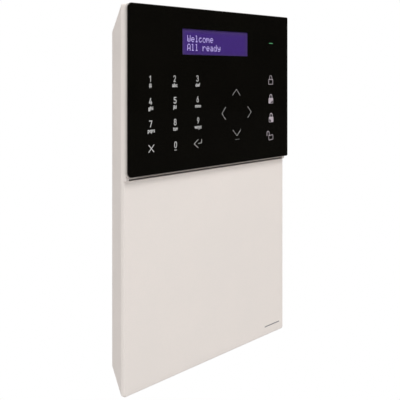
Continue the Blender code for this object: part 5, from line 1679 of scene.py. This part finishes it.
# ------------------------------------------------------------------ siren, grommet, tamper switch
def build_small_parts():
    y0, y1 = -11.0, -2.8
    siren = Shape()
    siren.turned(
        [(0, y1), (12.2, y1), (12.5, y1 - 0.3), (12.5, -5.4), (12.1, -5.7), (12.1, -6.1), (12.5, -6.4), (12.5, y0 + 0.8), (12.2, y0 + 0.25), (11.6, y0),
         (5.2, y0), (4.9, y0 + 0.25), (4.6, y0), (2.6, y0), (2.25, y0 + 0.35), (2.2, y0 + 2.0), (0, y0 + 2.0)],
        (47.5, 0, -66.0), "Y", 72,
    )  # fmt: skip
    piece("siren_body", siren, dark_paint, "rear", ("siren",), angle=40)
    plate = Shape().turned([(0, y0 + 1.9), (2.1, y0 + 1.9), (2.1, y0 + 1.7), (0, y0 + 1.6)], (47.5, 0, -66.0), "Y", 32)
    piece("siren_disc", plate, gold_paint, "rear")

    g = (-20.0, 0, -34.0)
    ring = [(6.3, -0.35), (6.3, -2.6), (6.45, -2.8), (7.4, -2.8), (7.6, -3.0), (7.6, -4.0), (7.3, -4.45), (6.8, -4.6), (5.0, -4.6), (4.45, -4.4), (4.2, -3.9), (4.2, -0.9), (4.5, -0.35)]
    piece("grommet_ring", Shape().turned(ring, g, "Y", 56, closed=True), rubber_paint, "rear", ("cable_grommet",))

    dress("tamper_housing", grey_paint, 0.35, 3)
    pin = Shape().turned(
        [(0, -0.1), (1.5, -0.1), (1.8, -0.45), (1.8, -5.5), (3.2, -5.5), (3.3, -5.6), (3.3, -6.3), (3.2, -6.4), (1.0, -6.4), (1.0, -13.4), (0.85, -13.6), (0, -13.6)],
        (30.0, 0, -34.0), "Y", 40,
    )  # fmt: skip
    piece("tamper_pin", pin, dark_paint, "tamper_plunger", ("tamper_plunger",))


build_small_parts()


# ------------------------------------------------------------------ ribbon cable between the boards
def build_ribbon():
    """Flat cable of sixteen cores: out of the board's connector, round its loop and up to the keypad's connector."""
    centre = [(-9.6, 66.2), (-9.9, 65.2), (-9.9, 62.8)]
    for i in range(17):
        a = math.pi * i / 16
        centre.append((-13.3 + 3.4 * math.cos(a), 60.5 - 3.4 * math.sin(a)))
    centre += [(-16.75, 62.5), (-17.2, 64.6), (-17.6, 66.3)]
    cores, pitch = 16, 1.0
    profile = []
    samples = 6
    for i in range(cores * samples + 1):
        x = -8.0 + pitch * i / samples
        t = abs(math.sin(math.pi * i / samples))
        profile.append((x, 0.07 + 0.12 * t))
    part = bmesh.new()
    rows = []
    for k, (y, z) in enumerate(centre):
        a = Vector(centre[max(k - 1, 0)])
        b = Vector(centre[min(k + 1, len(centre) - 1)])
        t = (b - a).normalized()
        ny, nz = -t.y, t.x
        row = [(x, y + ny * h, z + nz * h) for x, h in profile] + [(x, y - ny * h, z - nz * h) for x, h in reversed(profile)]
        rows.append([part.verts.new(Vector(p) * MM) for p in row])
    m = len(rows[0])
    for near, far in zip(rows, rows[1:]):
        for i in range(m):
            j = (i + 1) % m
            part.faces.new((near[i], near[j], far[j], far[i]))
    part.faces.new(rows[0])
    part.faces.new(rows[-1])
    shape = Shape().take(part, 0)
    mesh = soften(shape.mesh("ribbon"), 60)
    mesh.materials.append(ribbon_paint.mat)
    made = bpy.data.objects.new("flat_cable", mesh)
    bpy.context.scene.collection.objects.link(made)
    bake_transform(made)
    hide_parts("ribbon_cable")


build_ribbon()

# ------------------------------------------------------------------ plain mark on the white front
mark = Shape()
mark.box(55.0, 72.0, -25.03, -24.9, -110.95, -110.15, 0.02, 1)
piece("front_mark", mark, grey_paint, "cover")


# ------------------------------------------------------------------ floor, light, camera
def build_stage():
    floor_mesh = bpy.data.meshes.new("floor")
    bm = bmesh.new()
    bmesh.ops.create_grid(bm, x_segments=4, y_segments=4, size=6.0)
    bm.to_mesh(floor_mesh)
    bm.free()
    floor = bpy.data.objects.new("floor", floor_mesh)
    floor.location = (0, 0, -0.36)
    bpy.context.scene.collection.objects.link(floor)
    mat = bpy.data.materials.new("floor_white")
    mat.use_nodes = True
    nt = mat.node_tree
    nt.nodes.clear()
    out = nt.nodes.new("ShaderNodeOutputMaterial")
    path = nt.nodes.new("ShaderNodeLightPath")
    diffuse = nt.nodes.new("ShaderNodeBsdfDiffuse")
    diffuse.inputs["Color"].default_value = (0.72, 0.71, 0.70, 1)
    glow = nt.nodes.new("ShaderNodeEmission")
    glow.inputs["Color"].default_value = (1, 1, 1, 1)
    dim = nt.nodes.new("ShaderNodeEmission")
    dim.inputs["Color"].default_value = (0.02, 0.02, 0.02, 1)
    seen = nt.nodes.new("ShaderNodeMixShader")
    shiny = nt.nodes.new("ShaderNodeMixShader")
    nt.links.new(path.outputs["Is Glossy Ray"], shiny.inputs[0])
    nt.links.new(diffuse.outputs[0], shiny.inputs[1])
    nt.links.new(dim.outputs[0], shiny.inputs[2])
    nt.links.new(path.outputs["Is Camera Ray"], seen.inputs[0])
    nt.links.new(shiny.outputs[0], seen.inputs[1])
    nt.links.new(glow.outputs[0], seen.inputs[2])
    nt.links.new(seen.outputs[0], out.inputs[0])
    floor_mesh.materials.append(mat)


def build_world():
    world = bpy.data.worlds.new("studio")
    bpy.context.scene.world = world
    world.use_nodes = True
    nt = world.node_tree
    nt.nodes.clear()
    out = nt.nodes.new("ShaderNodeOutputWorld")
    path = nt.nodes.new("ShaderNodeLightPath")
    coord = nt.nodes.new("ShaderNodeTexCoord")
    split = nt.nodes.new("ShaderNodeSeparateXYZ")
    nt.links.new(coord.outputs["Generated"], split.inputs[0])
    rise = nt.nodes.new("ShaderNodeMapRange")
    rise.inputs["From Min"].default_value = 0.25
    rise.inputs["From Max"].default_value = 0.95
    rise.inputs["To Min"].default_value = 0.012
    rise.inputs["To Max"].default_value = 0.9
    nt.links.new(split.outputs[2], rise.inputs[0])
    ambient = nt.nodes.new("ShaderNodeBackground")
    ambient.inputs["Color"].default_value = (1.0, 0.995, 0.99, 1)
    lift = nt.nodes.new("ShaderNodeMapRange")
    lift.inputs["From Min"].default_value = 0.0
    lift.inputs["From Max"].default_value = 1.0
    lift.inputs["To Min"].default_value = AMBIENT
    lift.inputs["To Max"].default_value = AMBIENT * 1.1
    nt.links.new(split.outputs[2], lift.inputs[0])
    nt.links.new(lift.outputs[0], ambient.inputs["Strength"])
    dark = nt.nodes.new("ShaderNodeBackground")
    nt.links.new(rise.outputs[0], dark.inputs["Strength"])
    white = nt.nodes.new("ShaderNodeBackground")
    white.inputs["Color"].default_value = (1, 1, 1, 1)
    first = nt.nodes.new("ShaderNodeMixShader")
    nt.links.new(path.outputs["Is Glossy Ray"], first.inputs[0])
    nt.links.new(ambient.outputs[0], first.inputs[1])
    nt.links.new(dark.outputs[0], first.inputs[2])
    second = nt.nodes.new("ShaderNodeMixShader")
    nt.links.new(path.outputs["Is Camera Ray"], second.inputs[0])
    nt.links.new(first.outputs[0], second.inputs[1])
    nt.links.new(white.outputs[0], second.inputs[2])
    nt.links.new(second.outputs[0], out.inputs[0])


def lamp(name, where, aim, size, power, colour=(1, 1, 1)):
    data = bpy.data.lights.new(name, "AREA")
    data.shape = "RECTANGLE"
    data.size, data.size_y = size
    data.energy = power
    data.color = colour
    o = bpy.data.objects.new(name, data)
    o.location = where
    o.rotation_euler = (Vector(aim) - Vector(where)).to_track_quat("-Z", "Y").to_euler()
    bpy.context.scene.collection.objects.link(o)
    return o


AMBIENT = 0.585
build_stage()
build_world()
lamp("key", (-0.10, -0.95, 1.25), (0, 0, 0), (0.8, 0.4), 7.0, (1.0, 0.99, 0.985))
lamp("top_soft", (-0.10, -0.75, 1.35), (0, 0, 0), (0.8, 0.4), 6.4, (1.0, 0.99, 0.985))
lamp("left_fill", (-1.40, 0.50, 0.10), (0, 0, 0), (0.5, 0.9), 4.1, (1.0, 0.98, 0.98))
lamp("rear_fill", (1.00, 1.40, 0.70), (0, 0, 0), (0.9, 0.9), 4.0, (1.0, 0.99, 0.985))


CAM_AT = (-0.3662, -0.3671, 0.0758)
cam_data = bpy.data.cameras.new("camera")
cam_data.sensor_width = 36.0
cam_data.lens = 66.56
cam_data.clip_start, cam_data.clip_end = 0.01, 50.0
cam = bpy.data.objects.new("camera", cam_data)
cam.location = CAM_AT
cam.rotation_euler = (math.radians(90.0), 0.0, math.radians(-52.1))
bpy.context.scene.collection.objects.link(cam)
bpy.context.scene.camera = cam


def shift(prop, amount):
    """The picture is off-centre on the sensor only while the camera stands at its own place."""
    curve = cam_data.driver_add(prop)
    driver = curve.driver
    driver.type = "SCRIPTED"
    for name, kind in (("x", "LOC_X"), ("y", "LOC_Y"), ("z", "LOC_Z")):
        var = driver.variables.new()
        var.name = name
        var.type = "TRANSFORMS"
        var.targets[0].id = cam
        var.targets[0].transform_type = kind
        var.targets[0].transform_space = "WORLD_SPACE"
    driver.expression = (
        f"{amount} if abs(x + {-CAM_AT[0]}) < 0.001 and abs(y + {-CAM_AT[1]}) < 0.001 and abs(z - {CAM_AT[2]}) < 0.001 else 0.0"
    )


shift("shift_x", -0.2)
shift("shift_y", -0.3174)
scene = bpy.context.scene
scene.view_settings.view_transform = "Standard"
scene.view_settings.look = "None"
scene.view_settings.exposure = 0.0
scene.view_settings.gamma = 1.0
